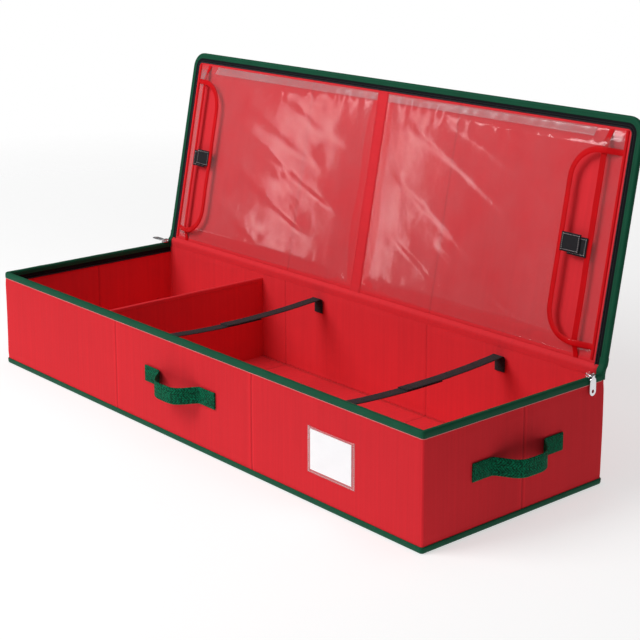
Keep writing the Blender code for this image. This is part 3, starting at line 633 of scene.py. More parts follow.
def ringPath(inset, radius, step, creased):
    # Round the walls, anticlockwise from the front left. Each station is x, y, the way out as x and y, the
    # gap to the nearest fold, and 1 on the back wall
    halfX, halfY = box["halfLength"] - inset, box["halfDepth"] - inset
    x, y = halfX - radius, halfY - radius

    def run(reach, folds):
        folds = folds if creased else []
        places = withCreases(spread(-reach, reach, step), folds)
        return [(p, min((abs(p - f) for f in folds), default=1.0)) for p in places]

    def corner(cornerX, cornerY, start):
        return [(*spot, 1.0, 0) for spot in cornerArc(cornerX, cornerY, radius, start, 5)]

    longRun, sideRun = run(x, [-box["creaseX"], box["creaseX"]]), run(y, [box["creaseY"]])
    path = [(p, -halfY, 0, -1, gap, 0) for p, gap in longRun] + corner(x, -y, -math.pi / 2)
    path += [(halfX, p, 1, 0, gap, 0) for p, gap in sideRun] + corner(x, y, 0)
    path += [(p, halfY, 0, 1, gap, 1) for p, gap in longRun[::-1]] + corner(-x, y, math.pi / 2)
    path += [(-halfX, p, -1, 0, gap, 0) for p, gap in sideRun[::-1]] + corner(-x, -y, math.pi)
    return path


wall = {
    "step": 0.006, "levels": 26, "extraLevels": [0.02, 0.055, 0.085, 0.125, 0.94, 0.905, 0.87],
    "calm": (0.009, 0.022), "waveSize": 0.12, "seamFrom": 0.013, "seamReach": 0.011, "seamWave": 0.015,
    "deepest": -0.0006, "sharp": 60,
}


def wallCloth(name, s):
    path = ringPath(s["inset"], s["radius"], wall["step"], True)
    levels = sorted({k / wall["levels"] for k in range(wall["levels"] + 1)} | set(wall["extraLevels"]))
    low, side, seed = s["low"], s["side"], s["seed"]
    rows, uvRows, travelled, before = [], [], 0.0, path[0]
    for x, y, outX, outY, gap, onBack in path:
        travelled += math.hypot(x - before[0], y - before[1])
        before = (x, y)
        high = box["backTop"] if onBack else box["rimTop"]
        row, uvs = [], []
        for level in levels:
            z = low + (high - low) * level
            inside = smoothStep(*wall["calm"], z - low) * smoothStep(*wall["calm"], high - z)
            push = s["bulge"] * (0.5 + waves(travelled, z, wall["waveSize"], seed)) * inside
            seam = fading(high - z - wall["seamFrom"], wall["seamReach"])
            seam += 0.8 * fading(z - low - wall["seamFrom"], wall["seamReach"])
            push += s["pucker"] * seam * waves(travelled, z * 0.2, wall["seamWave"], seed + 5) * inside
            push = max(push + foldDepth(gap), wall["deepest"]) * side
            row.append((x + outX * push, y + outY * push, z))
            uvs.append((travelled, z))
        rows.append(row)
        uvRows.append(uvs)
    uvRows.append([(travelled + wall["step"], uv[1]) for uv in uvRows[0]])
    made = gridObject(name, rows, uvRows, closed=True, flip=side < 0)
    # Painted shade along each fold
    markRows(made, "crease", [creaseShare(gap) for _, _, _, _, gap, _ in path])
    # A painted highlight on the outer cloth's rounded corners and on a line beside each fold
    if side > 0:
        paintedHighlightShares = [
            1.0 if abs(outX * outY) > 0.1 else 0.7 * creaseShare((gap - 0.0035) * 0.8)
            for _, _, outX, outY, gap, _ in path
        ]
        markRows(made, "worn", paintedHighlightShares)
    sharpen(made, wall["sharp"])
    return giveThickness(made, cloth["thick"])


outer = wallCloth("outerCloth", {
    "inset": 0, "radius": box["cornerRadius"], "low": 0.0013, "side": 1, "bulge": 0.0009,
    "pucker": 0.0008, "seed": 3.1,
})
place(outer, redCloth, "box", "red_cloth", ["outer_shell"])
inner = wallCloth("innerCloth", {
    "inset": box["wall"], "radius": 0.0030, "low": 0.0050, "side": -1, "bulge": 0.0009, "pucker": 0.0006,
    "seed": 21.7,
})
place(inner, redLining, "box", "red_lining", ["inner_lining"])

floor = {
    "gap": 0.0004, "step": 0.009, "z": 0.0062, "bulge": 0.0009, "waveSize": 0.16, "seed": 40.2,
    "flatEdge": 0.03, "turnUp": 0.0012, "turnReach": 0.003,
}


def floorCloth():
    x, y = (box[half] - box["wall"] - floor["gap"] for half in ("halfLength", "halfDepth"))
    places = acrossFolds(x, floor["step"])

    def spot(px, py):
        edge = min(x - abs(px), y - abs(py))
        swell = 0.5 + waves(px, py, floor["waveSize"], floor["seed"])
        rise = floor["bulge"] * swell * smoothStep(0.0, floor["flatEdge"], edge)
        turn = floor["turnUp"] * math.exp(-edge / floor["turnReach"])
        return (px, py, floor["z"] + rise + foldDepth(longFoldGap(px)) * 0.8 + turn), (px, py)

    made = sheetOver("floorCloth", places, spread(-y, y, floor["step"]), spot)
    # Painted shade along the folds
    markRows(made, "crease", [creaseShare(longFoldGap(px)) for px in places])
    return giveThickness(made, cloth["innerThick"])


place(floorCloth(), redLining, "box", "red_lining")

under = {
    "inset": 0.0006, "radius": 0.0040, "step": 0.010, "columns": 34, "z": 0.0003, "bulge": 0.0003,
    "waveSize": 0.15, "seed": 33.0, "drawnUp": 0.0009,
}


def underside():
    # Rounded at its corners, drawn up a little between the boards
    x, y, r = box["halfLength"] - under["inset"], box["halfDepth"] - under["inset"], under["radius"]
    arc = [x - r + r * math.sin(math.pi / 2 * k / 5) for k in range(1, 6)]
    places = [-p for p in arc[::-1]] + acrossFolds(x - r, under["step"]) + arc

    def spot(px, share):
        over = max(0.0, abs(px) - (x - r))
        py = share * (y - r + math.sqrt(max(0.0, r * r - over * over)))
        lift = under["bulge"] * (0.5 + waves(px, share * y, under["waveSize"], under["seed"]))
        lift += under["drawnUp"] * creaseShare(longFoldGap(px))
        return (px, py, under["z"] + lift), (px, py)

    made = sheetOver("baseCloth", places, spread(-1.0, 1.0, 2 / under["columns"]), spot, flip=True)
    # Painted shade along the folds
    markRows(made, "crease", [creaseShare(longFoldGap(px)) for px in places])
    return giveThickness(made, cloth["innerThick"])


place(underside(), redCloth, "box", "red_cloth", ["base_cloth"])
print("box cloth made")

divider = {
    "x": -0.2390, "halfThick": 0.0028, "front": -0.1707, "back": 0.1721, "low": 0.0062, "top": 0.1510,
    "round": 0.0022, "stepUp": 0.006, "stepAlong": 0.007, "swell": 0.0006, "wave": 0.0005,
    "seamDrop": 0.0065, "seamOut": 0.0032, "seamEnds": (-0.168, 0.170),
}


def dividerPanel():
    # A board in a cloth sleeve, its top edge rounded and its faces a little uneven
    d = divider
    shoulder = d["top"] - d["round"]
    levels = spread(d["low"], shoulder, d["stepUp"])
    profile = [(d["halfThick"], z) for z in levels]
    for angle in (math.pi * k / 8 for k in range(1, 8)):
        profile.append((d["halfThick"] * math.cos(angle), shoulder + d["round"] * math.sin(angle)))
    profile += [(-d["halfThick"], z) for z in levels[::-1]]
    stations = [(Vector((d["x"], y, 0)), xWay, zWay) for y in spread(d["front"], d["back"], d["stepAlong"])]
    made = sweptObject("dividerPanel", stations, profile, sharp=70)
    for p in (vertex.co for vertex in made.data.vertices):
        side = 1 if p.x > d["x"] else -1
        if d["low"] + 0.004 < p.z:
            p.x += side * d["swell"] * (0.4 + waves(p.y, p.z, 0.07, 11.0 + side))
            p.z += d["wave"] * waves(p.y, 0.0, 0.05, 17.0) * smoothStep(0.12, 0.151, p.z)
    return made


place(dividerPanel(), redLining, "box", "red_cloth", ["divider_cover"])
seamZ = divider["top"] - divider["seamDrop"]
dividerSeams = []
for side in (-1, 1):
    seamX = divider["x"] + side * divider["seamOut"]
    dividerSeams.append(straightLine(*[(seamX, y, seamZ) for y in divider["seamEnds"]], zWay))
repeatAlong("dividerStitches", dividerSeams, "divider", "box", "red_cloth")


# Bindings

rim = {
    "low": 0.1550, "top": 0.1651, "outward": 0.0010, "inward": 0.0071, "cornerRadius": 0.0045,
    "step": 0.006, "backEnd": 0.1735, "outSeamEnd": 0.172, "inSeamEnd": 0.168, "seamUp": 0.0022,
    "wobble": 0.0003,
}


def rimPath(inset, radius, backEnd):
    # From the left back corner round the front to the right back corner: (x, y, in x, in y)
    halfX, halfY = box["halfLength"] - inset, box["halfDepth"] - inset
    x, y = halfX - radius, halfY - radius
    side = spread(-y, backEnd, rim["step"])
    path = [(-halfX, p, 1, 0) for p in side[::-1]]
    path += [(px, py, -c, -s) for px, py, c, s in cornerArc(-x, -y, radius, math.pi, 6)]
    path += [(p, -halfY, 0, 1) for p in spread(-x, x, rim["step"])]
    path += [(px, py, -c, -s) for px, py, c, s in cornerArc(x, -y, radius, -math.pi / 2, 6)]
    return path + [(halfX, p, -1, 0) for p in side]


def inwardStations(path, heights=None):
    heights = heights or [0] * len(path)
    return [(Vector((x, y, z)), Vector((inX, inY, 0)), zWay) for (x, y, inX, inY), z in zip(path, heights)]


def rimBinding():
    low, top, a, b = rim["low"], rim["top"], -rim["outward"], rim["inward"]
    profile = [
        (-0.0002, low + 0.0004), (-0.0006, low), (a + 0.0001, low + 0.0006), (a, low + 0.0025),
        (a, low + 0.0062), (a + 0.0006, top - 0.0014), (a + 0.0022, top - 0.0003), (0.0028, top),
        (b - 0.0022, top - 0.0003), (b - 0.0006, top - 0.0014), (b, low + 0.0062), (b, low + 0.0025),
        (b - 0.0002, low + 0.0006), (b - 0.0006, low), (b - 0.0013, low + 0.0004),
        (b - 0.0013, top - 0.0030), (-0.0002, top - 0.0030),
    ]
    path = rimPath(0, rim["cornerRadius"], rim["backEnd"])
    heights = [rim["wobble"] * waves(k * rim["step"], 0.0, 0.03, 55.0) for k in range(len(path))]
    return sweptObject("rimBinding", inwardStations(path, heights), profile, sharp=75)


place(rimBinding(), greenBinding, "box", "green_binding", [
    "rim_binding_front", "rim_binding_left", "rim_binding_right",
])


def rimLine(inset, z, backEnd):
    # A line round the rim, `inset` in from the outer face
    radius = max(0.0005, rim["cornerRadius"] - inset)
    return [(Vector((x, y, z)), zWay) for x, y, _, _ in rimPath(inset, radius, backEnd)]


repeatAlong("rimStitches", [
    rimLine(-rim["outward"], rim["low"] + rim["seamUp"], rim["outSeamEnd"]),
    rimLine(rim["inward"], rim["low"] + rim["seamUp"], rim["inSeamEnd"]),
], "binding", "box", "green_binding")


def roundLine(name, line, radius, sides=6):
    # A thin round thread or wire along points
    stations = []
    for k, point in enumerate(line):
        way = (line[min(k + 1, len(line) - 1)] - line[max(k - 1, 0)]).normalized()
        side = way.cross(Vector((0, 0.2, 1))).normalized()
        stations.append((point, side, side.cross(way).normalized()))
    angles = [2 * math.pi * k / sides for k in range(sides)]
    profile = [(radius * math.cos(a), radius * math.sin(a)) for a in angles]
    return sweptObject(name, stations, profile, sharp=180)


# A thin cord just under the rim binding: the cord is shape, and its pale colour is a painted highlight where
# the cloth's top edge catches the light
highlightCord = {"outward": 0.0004, "drop": 0.0004, "radius": 0.0005}
edgeLine = rimLine(-highlightCord["outward"], rim["low"] - highlightCord["drop"], rim["outSeamEnd"])
edgeCord = roundLine("rimSelvedge", [p for p, _ in edgeLine], highlightCord["radius"])
place(edgeCord, selvedgeThread, "box", "green_binding")

base = {
    "top": 0.0092, "outward": 0.0016, "radius": 0.0035, "step": 0.007, "seamStep": 0.02, "seamDrop": 0.0022,
}


def baseBinding():
    # A closed loop round the bottom edges, turned a little under them
    out, top = base["outward"], base["top"]
    profile = [
        (0.0002, top - 0.0004), (-0.0006, top), (-out + 0.0002, top - 0.0007), (-out, top - 0.0025),
        (-out, 0.0036), (-out + 0.0005, 0.0016), (-0.0002, 0.0004), (0.0020, 0.0001), (0.0045, 0.0001),
        (0.0046, 0.0008), (0.0022, 0.0010), (0.0002, 0.0016),
    ]
    ring = ringPath(0, base["radius"], base["step"], False)
    path = [(x, y, -outX, -outY) for x, y, outX, outY, _, _ in ring]
    return sweptObject("baseBinding", inwardStations(path), profile, closed=True, sharp=75)


place(baseBinding(), greenBinding, "box", "green_binding", [
    "base_binding_front", "base_binding_back", "base_binding_left", "base_binding_right",
])
ring = [
    (Vector((x, y, base["top"] - base["seamDrop"])), zWay)
    for x, y, _, _, _, _ in ringPath(-base["outward"], base["radius"], base["seamStep"], False)
]
repeatAlong("baseStitches", [ring + ring[:1]], "binding", "box", "green_binding")
print("bindings made")


# Zip

zipTape = {
    "width": 0.0092, "thick": 0.0006, "underRim": 0.0010, "gap": 0.0006, "corner": 0.0085,
    "backEnd": 0.1715, "teethIn": 0.0011, "teethUp": 0.0014, "seamUp": 0.0042,
}


def boxZip():
    z = zipTape
    top = rim["low"] + z["underRim"]
    low = top - z["width"] - 0.001
    near = box["wall"] + z["gap"]
    far = near + z["thick"]
    path = rimPath(0, z["corner"], z["backEnd"])
    profile = [(near, low), (far, low), (far, top), (near, top)]
    made = sweptObject("boxZipTape", inwardStations(path), profile)
    place(made, blackTape, "box", "black_zip_tape", ["box_zip_tape"])
    reach, level = near + z["teethIn"], low + z["teethUp"]
    line = [(Vector((x + inX * reach, y + inY * reach, level)), zWay) for x, y, inX, inY in path]
    repeatAlong("boxZipTeeth", [line], "zipTeeth", "box", "black_zip_tape")
    seam = [(p + zWay * z["seamUp"], across) for p, across in line]
    repeatAlong("boxZipStitches", [seam], "boxZip", "box", "black_zip_tape")


boxZip()

lidTrim = {
    "step": 0.006, "inside": 0.0090, "outside": 0.0098, "foot": 0.0020, "seamFoot": 0.004,
    "seamInside": 0.0073, "seamOutside": 0.0082, "tapeStart": 0.0080, "tapeWidth": 0.0094,
    "tapeFoot": 0.0015, "tapeSeamFoot": 0.002, "teethBack": 0.0013,
}


def lidEdge(inset, foot):
    # Round the lid's free edges from its left foot to its right one: (x, u, in x, in u)
    r, half, top = lid["cornerRadius"], box["halfLength"], lid["top"]
    side = spread(foot, top - r, lidTrim["step"])
    path = [(-half, u, 1, 0) for u in side]
    path += [(x, u, -c, -s) for x, u, c, s in cornerArc(-half + r, top - r, r, math.pi, 9, -1)]
    path += [(x, top, 0, -1) for x in spread(-half + r, half - r, lidTrim["step"])]
    path += [(x, u, -c, -s) for x, u, c, s in cornerArc(half - r, top - r, r, math.pi / 2, 9, -1)]
    path += [(half, u, -1, 0) for u in side[::-1]]
    return [(x + inX * inset, u + inU * inset, inX, inU) for x, u, inX, inU in path]


def lidSweep(name, profile, foot):
    # The profile is (in from the edge, n)
    path = lidEdge(0, foot)
    stations = [(lidPoint(x, 0, u), lidWay(inX, 0, inU), lidWay(0, 1, 0)) for x, u, inX, inU in path]
    return sweptObject(name, stations, profile, sharp=75)


def lidLine(inset, n, foot):
    return [(lidPoint(x, n, u), lidWay(inX, 0, inU)) for x, u, inX, inU in lidEdge(inset, foot)]


def lidBinding():
    # Rolled round the edge, then flat: the roll and the flat take the light apart
    w, v, near, far = lidTrim["inside"], lidTrim["outside"], lid["liningN"], lid["coverN"]
    profile = [
        (w - 0.0006, near - 0.0002), (w, near - 0.0008), (w - 0.0008, near - 0.0013),
        (0.0058, near - 0.0014), (0.0048, near - 0.0011), (0.0040, near - 0.0014),
        (0.0024, near - 0.0016), (0.0006, near - 0.0011), (-0.0009, near + 0.0003),
        (-0.0013, near + 0.0028), (-0.0009, far - 0.0005), (0.0004, far + 0.0008), (0.0025, far + 0.0013),
        (v - 0.0010, far + 0.0012), (v, far + 0.0008), (v - 0.0006, far + 0.0002), (0.0010, far + 0.0002),
        (0.0010, near - 0.0003),
    ]
    return lidSweep("lidBinding", profile, lidTrim["foot"])


place(lidBinding(), greenBinding, "lid", "green_binding", ["lid_binding"])
repeatAlong("lidStitches", [
    lidLine(lidTrim["seamInside"], lid["liningN"] - 0.0014, lidTrim["seamFoot"]),
    lidLine(lidTrim["seamOutside"], lid["coverN"] + 0.0013, lidTrim["seamFoot"]),
], "binding", "lid", "green_binding")


def lidZip():
    start, foot = lidTrim["tapeStart"], lidTrim["tapeSeamFoot"]
    end = start + lidTrim["tapeWidth"]
    back = lid["liningN"] - 0.0004
    face = back - zipTape["thick"]
    profile = [(start, back), (start, face), (end, face), (end, back)]
    made = lidSweep("lidZipTape", profile, lidTrim["tapeFoot"])
    place(made, blackTape, "lid", "black_zip_tape", ["lid_zip_tape"])
    teeth = lidLine(end - lidTrim["teethBack"], back - zipTape["teethIn"], foot)
    repeatAlong("lidZipTeeth", [teeth], "zipTeeth", "lid", "black_zip_tape")
    seam = lidLine((start + end) / 2, back - 0.0007, foot)
    repeatAlong("lidZipStitches", [seam], "lidZip", "lid", "black_zip_tape")


lidZip()
print("zip made")


# The lid's cloth

def lidTopAt(x, inset):
    # The cloth's top at x, where it stops `inset` short of the lid's edge
    r, over = lid["cornerRadius"] - inset, abs(x) - box["halfLength"] + lid["cornerRadius"]
    return lid["top"] - inset - r + math.sqrt(max(0.0, r * r - max(0.0, over) ** 2))


panel = {
    "step": 0.0065, "rows": 54, "calmWidth": 0.014, "waveSize": 0.13, "seamFrom": 0.004, "seamReach": 0.011,
    "seamWave": 0.016,
}


def lidPanel(name, n, side, s):
    # side 1 is the outer cloth, -1 the lining; both stop under the binding
    edge = box["halfLength"] - lid["cornerRadius"]
    arc = [edge + (lid["cornerRadius"] - s["inset"]) * math.sin(math.pi / 2 * k / 8) for k in range(1, 9)]
    places = [-x for x in arc[::-1]] + acrossFolds(edge, panel["step"]) + arc

    def spot(x, share):
        u = lid["foot"] + (lidTopAt(x, s["inset"]) - lid["foot"]) * share
        fromEdge = min(box["halfLength"] - abs(x), lid["top"] - u)
        calm = smoothStep(s["calm"], s["calm"] + panel["calmWidth"], fromEdge) * smoothStep(0.004, 0.020, u)
        push = s["bulge"] * (0.5 + waves(x, u, panel["waveSize"], s["seed"])) * calm
        seam = fading(fromEdge - s["calm"] - panel["seamFrom"], panel["seamReach"])
        push += s["pucker"] * seam * waves(x, u, panel["seamWave"], s["seed"] + 4) * calm
        push += foldDepth(longFoldGap(x)) * s["fold"]
        return lidPoint(x, n + side * push, u), (x, u)

    made = sheetOver(name, places, spread(0.0, 1.0, 1 / panel["rows"]), spot, flip=side < 0)
    # Painted shade along the folds
    markRows(made, "crease", [creaseShare(longFoldGap(x)) for x in places])
    return giveThickness(made, cloth["thick"])


cover = lidPanel("lidCover", lid["coverN"], 1, {
    "bulge": 0.0011, "pucker": 0.0008, "calm": 0.010, "fold": 1.0, "seed": 70.3, "inset": 0.0012,
})
place(cover, redCloth, "lid", "red_cloth", ["lid_cover"])
lining = lidPanel("lidLining", lid["liningN"], -1, {
    "bulge": 0.0003, "pucker": 0.0002, "calm": 0.020, "fold": 0.5, "seed": 83.9, "inset": 0.0022,
})
place(lining, redLining, "lid", "red_lining", ["lid_lining"])


# Hinge cloth

def bendWithLid(piece):
    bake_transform(piece)


hinge = {
    "step": 0.01, "ripple": 0.0004, "rippleSize": 0.02, "seed": 90.0, "wallGap": 0.0007,
    "backWidth": 0.5190, "backThick": 0.0007, "frontWidth": 0.5125, "frontThick": 0.0006,
    "sleeveUv": (0.0015, 0.0014),
}


def hingeSheet(name, line, halfWidth, thick, look, slot, nodes=()):
    # The line's points (y, z) run from the box's wall up to the lid; the sheet runs the whole width
    run = [0.0]
    for (y, z), (nextY, nextZ) in zip(line, line[1:]):
        run.append(run[-1] + math.hypot(nextY - y, nextZ - z))

    def spot(x, k):
        ripple = hinge["ripple"] * waves(x, 0.0, hinge["rippleSize"], hinge["seed"])
        return (x, line[k][0] + ripple * math.sin(math.pi * k / (len(line) - 1)), line[k][1]), (x, run[k])

    made = sheetOver(name, acrossFolds(halfWidth, hinge["step"]), range(len(line)), spot)
    giveThickness(made, thick, 0.0)
    settle(made)
    place(made, look, None, slot, nodes)
    bendWithLid(made)


wallOut = box["halfDepth"] + hinge["wallGap"]
backLine = smoothRun([
    (wallOut, 0.1560), (wallOut, 0.1630), (wallOut + 0.0006, 0.1690),
    lidYz(0.0084, 0.0035), lidYz(0.0081, 0.0110), lidYz(0.0078, 0.0180),
], 26)
backSize, frontSize = (hinge["backWidth"], hinge["backThick"]), (hinge["frontWidth"], hinge["frontThick"])
hingeSheet("hingeClothBack", backLine, *backSize, redCloth, "red_cloth", ["hinge_strip"])
wallIn = box["halfDepth"] - box["wall"] - hinge["wallGap"]
frontLine = smoothRun([
    (wallIn + 0.0010, 0.1570), (wallIn + 0.0005, 0.1630), (wallIn + 0.0008, 0.1690),
    lidYz(0.0010, 0.0036), lidYz(0.0019, 0.0100),
], 24)
hingeSheet("hingeClothFront", frontLine, *frontSize, redLining, "red_lining")


def sleeveProfile(wide):
    # The binding's section at the hinge, for two edges that stand `wide` apart
    return [
        (0.0094, -0.0003), (0.0012, -0.0004), (-0.0006, 0.0003), (-0.0014, 0.0020), (-0.0017, wide * 0.5),
        (-0.0014, wide - 0.0022), (-0.0004, wide - 0.0004), (0.0014, wide + 0.0002),
        (0.0102, wide + 0.0002), (0.0102, wide - 0.0005), (0.0012, wide - 0.0008), (0.0006, wide * 0.5),
        (0.0012, 0.0006), (0.0094, 0.0004),
    ]


def hingeSleeve(name, side):
    # The green binding carries on round each end of the hinge, from the rim's width to the lid's
    front = smoothRun([
        (0.1706, 0.1560), (0.1706, 0.1625), (0.1716, 0.1690), lidYz(-0.0001, 0.0045), lidYz(0.0001, 0.0150),
    ], 22)
    back = smoothRun([
        (0.1792, 0.1550), (0.1794, 0.1620), (0.1812, 0.1690), lidYz(0.0083, 0.0045), lidYz(0.0085, 0.0150),
    ], 22)
    points, profiles = [], []
    for near, far in zip(front, back):
        a, b = (Vector((side * box["halfLength"], *yz)) for yz in (near, far))
        profile = sleeveProfile((b - a).length)
        points += [a - xWay * side * p + (b - a).normalized() * q for p, q in profile]
        profiles.append(profile)
    faces, corners = tubeFaces(len(profiles), len(profiles[0]), False)
    stepU, stepV = hinge["sleeveUv"]
    uvs = [[(k * stepU, i * stepV) for k, i in four] for four in corners]
    faces += endFaces(len(profiles), len(profiles[0]))
    made = newObject(name, points, faces, uvs + [profiles[0][::-1], profiles[-1]])
    outwards(made)
    sharpen(made, 75)
    place(made, greenBinding, None, "green_binding")
    bendWithLid(made)


hingeSleeve("leftHingeSleeve", -1)
hingeSleeve("rightHingeSleeve", 1)
print("lid cloth and hinge made")


# Handles and straps

def ribbonStations(line, acrossWay):
    # line of points; the ribbon's face turns with the line, its width lies along acrossWay
    stations = []
    for k, point in enumerate(line):
        way = (line[min(k + 1, len(line) - 1)] - line[max(k - 1, 0)]).normalized()
        stations.append((point, acrossWay, way.cross(acrossWay).normalized()))
    return stations


def ribbonProfile(width, thick, edge=0.35):
    # A flat band with soft edges and a faintly crowned face
    w, t = width / 2, thick / 2
    return [
        (-w, -t * edge), (-w + t, -t), (-w * 0.5, -t * 1.05), (0, -t * 1.08), (w * 0.5, -t * 1.05),
        (w - t, -t), (w, -t * edge), (w, t * edge), (w - t, t), (w * 0.5, t * 1.05), (0, t * 1.08),
        (-w * 0.5, t * 1.05), (-w + t, t), (-w, t * edge),
    ]


handle = {
    "length": 0.178, "patch": 0.035, "width": 0.026, "thick": 0.0020, "bulge": 0.030, "fullness": 2.0,
    "sag": 0.0030, "lift": 0.0012, "step": 0.005, "archSteps": 40, "seamIn": 0.0035,
    "seamFromArch": 0.006,
}


def handlePiece(name, node, centre, along, out):
    h = handle
    centre, along, out = Vector(centre), Vector(along), Vector(out)
    half, arch, lift = h["length"] / 2, h["length"] / 2 - h["patch"], h["lift"] + h["thick"] / 2
    line = [centre + along * w + out * lift for w in spread(-half, -arch - 0.002, h["step"])]
    for k in range(1, h["archSteps"]):
        w = -arch + 2 * arch * k / h["archSteps"]
        share = 0.5 + 0.5 * math.cos(math.pi * abs(w / arch) ** h["fullness"])
        line.append(centre + along * w + out * (lift + h["bulge"] * share) - zWay * (h["sag"] * share))
    line += [centre + along * w + out * lift for w in spread(arch + 0.002, half, h["step"])]
    made = sweptObject(name, ribbonStations(line, zWay), ribbonProfile(h["width"], h["thick"]), sharp=60)
    place(made, greenWebbing, "box", "green_webbing", [node])
    lines = []
    face, z = lift + h["thick"] / 2 + 0.0002, h["width"] / 2 - h["seamIn"]
    for side in (-1, 1):
        ends = side * (arch + h["seamFromArch"]), side * (half - h["seamIn"])
        corner = {
            (i, j): centre + along * ends[i] + out * face + zWay * (j * z) for i in (0, 1) for j in (-1, 1)
        }
        for p, q in boxAndCross:
            lines.append(straightLine(corner[p], corner[q], out))
    repeatAlong(name + "Stitches", lines, "handle", "box", "green_webbing")


# Round the sewn end, then across it both ways: (inner or outer end, lower or upper edge)
boxAndCross = [
    ((0, -1), (1, -1)), ((1, -1), (1, 1)), ((1, 1), (0, 1)), ((0, 1), (0, -1)), ((0, -1), (1, 1)),
    ((0, 1), (1, -1)),
]
handlePiece("frontHandle", "front_handle", (0, -box["halfDepth"], 0.090), (1, 0, 0), (0, -1, 0))
for side in ("left", "right"):
    endX = signs[side] * box["halfLength"]
    handlePiece(side + "Handle", side + "_handle", (endX, 0, 0.087), (0, 1, 0), (signs[side], 0, 0))

strap = {
    "width": 0.020, "thick": 0.0015, "z": 0.1445, "bend": 0.005, "patch": 0.020, "sag": 0.008,
    "freeY": -0.031, "underY": 0.039, "wallGap": 0.0018, "overGap": 0.0004, "step": 0.006,
    "patchStep": 0.004, "wobble": 0.0006, "seamHalf": 0.008, "seamStep": 0.004,
}


def strapHalf(name, node, x, side, lift, freeY):
    # Sewn to a wall, bent over and lying in a shallow sag to its free end
    bend, level = strap["bend"], strap["z"] + lift
    wallY = side * (box["halfDepth"] - box["wall"] - strap["wallGap"] - strap["thick"] / 2)
    startY = wallY - side * bend
    patchTop = level - bend
    line = [Vector((x, wallY, z)) for z in spread(patchTop - strap["patch"], patchTop, strap["patchStep"])]
    for angle in (math.pi / 2 * k / 6 for k in range(1, 7)):
        y, z = startY + side * bend * math.cos(angle), level - bend * (1 - math.sin(angle))
        line.append(Vector((x, y, z)))
    reach = abs(freeY - startY)
    for run in spread(0, reach, strap["step"])[1:]:
        y = startY - side * run
        share = y / (box["halfDepth"] - box["wall"] - bend)
        wobble = strap["wobble"] * waves(y, x, 0.03, 60.0)
        line.append(Vector((x + wobble, y, level - strap["sag"] * max(0.0, 1 - share ** 2))))
    profile = ribbonProfile(strap["width"], strap["thick"])
    made = sweptObject(name, ribbonStations(line, xWay), profile, sharp=60)
    place(made, blackWebbing, "box", "black_webbing", [node])
    return line


def strapPair(name, node, x):
    under = strapHalf(name + "Front", node + "_front", x, -1, 0.0, strap["underY"])
    over = strapHalf(name + "Back", node + "_back", x, 1, strap["thick"] + strap["overGap"], strap["freeY"])
    rows = []
    for line, face in ((under, 0.0009), (over, -0.0009)):
        rows += [(line[0].y + face, z, zWay) for z in (line[0].z + 0.003, line[5].z - 0.001)]
    rows += [(over[-1].y + back, over[-1].z + 0.0011, yWay) for back in (0.003, 0.013)]
    left, right = x - strap["seamHalf"], x + strap["seamHalf"]
    lines = [straightLine((left, y, z), (right, y, z), across, strap["seamStep"]) for y, z, across in rows]
    repeatAlong(name + "Stitches", lines, "strap", "box", "black_webbing")


strapPair("leftStrap", "left_strap", -0.083)
strapPair("rightStrap", "right_strap", 0.330)
print("handles and straps made")


# Label sleeve

label = {
    "x": 0.3457, "z": 0.079, "width": 0.0956, "height": 0.067, "seam": 0.0048, "seamWidth": 0.0016,
    "back": -0.1784, "edge": -0.1791, "face": -0.1806, "step": 0.0024, "ripple": 0.00015, "thick": 0.0003,
    "stitchY": -0.1796, "stitchIn": 0.0018, "stitchTop": 0.001,
}
label["low"], label["high"] = label["z"] - label["height"] / 2, label["z"] + label["height"] / 2


def sleevePanel(name, lowY, midY, nodes=()):
    # Pressed flat at three edges, standing off in the middle and open at its top
    half = label["width"] / 2

    def spot(x, z):
        edge = min(half - abs(x), z - label["low"])
        share = smoothStep(label["seam"] - label["seamWidth"], label["seam"] + label["seamWidth"], edge)
        ripple = label["ripple"] * waves(x, z, 0.018, 95.0) * share
        return (label["x"] + x, lowY + (midY - lowY) * share + ripple, z), (label["x"] + x, z)

    step = label["step"]
    made = sheetOver(name, spread(-half, half, step), spread(label["low"], label["high"], step), spot)
    place(giveThickness(made, label["thick"]), clearHem, "box", "clear_film", nodes)


def labelSeams():
    foot, top = label["low"] + label["stitchIn"], label["high"] - label["stitchTop"]
    left, right = (label["x"] + side * (label["width"] / 2 - label["stitchIn"]) for side in (-1, 1))
    y = label["stitchY"]
    repeatAlong("labelStitches", [
        straightLine((left, y, top), (left, y, foot), xWay),
        straightLine((left, y, foot), (right, y, foot), zWay),
        straightLine((right, y, foot), (right, y, top), xWay),
    ], "label", "box", "clear_film")


sleevePanel("labelSleeve", label["edge"], label["face"], ["label_sleeve"])
sleevePanel("labelBacking", label["back"], label["back"])
labelSeams()


# Clear pockets

pocket = {
    "inner": 0.0010, "end": 0.4950, "foot": 0.0090, "head": 0.3326, "mouthEdge": 0.4210,
    "mouthLow": 0.0290, "mouthHigh": 0.2980, "mouthRadius": 0.0420, "depth": 0.0115, "step": 0.0030,
    "film": 0.0004, "lipEdge": 0.4650, "mouthSteps": 14,
}


def pocketN(x, u):
    # The film's near side as the lid's n: sewn at the edges, standing off most along the mouth
    away = abs(x)
    along = 0.5 * smoothStep(0.010, 0.43, away) + 0.5 * min(1.0, max(0.0, (away - 0.0125) / 0.40))
    if away > pocket["lipEdge"]:
        along *= 1 - 0.96 * smoothStep(pocket["lipEdge"], pocket["end"], away)
    up = smoothStep(0.007, 0.034, u) * smoothStep(-0.3340, -0.3060, -u)
    return lid["liningN"] - 0.0010 - pocket["depth"] * along * up


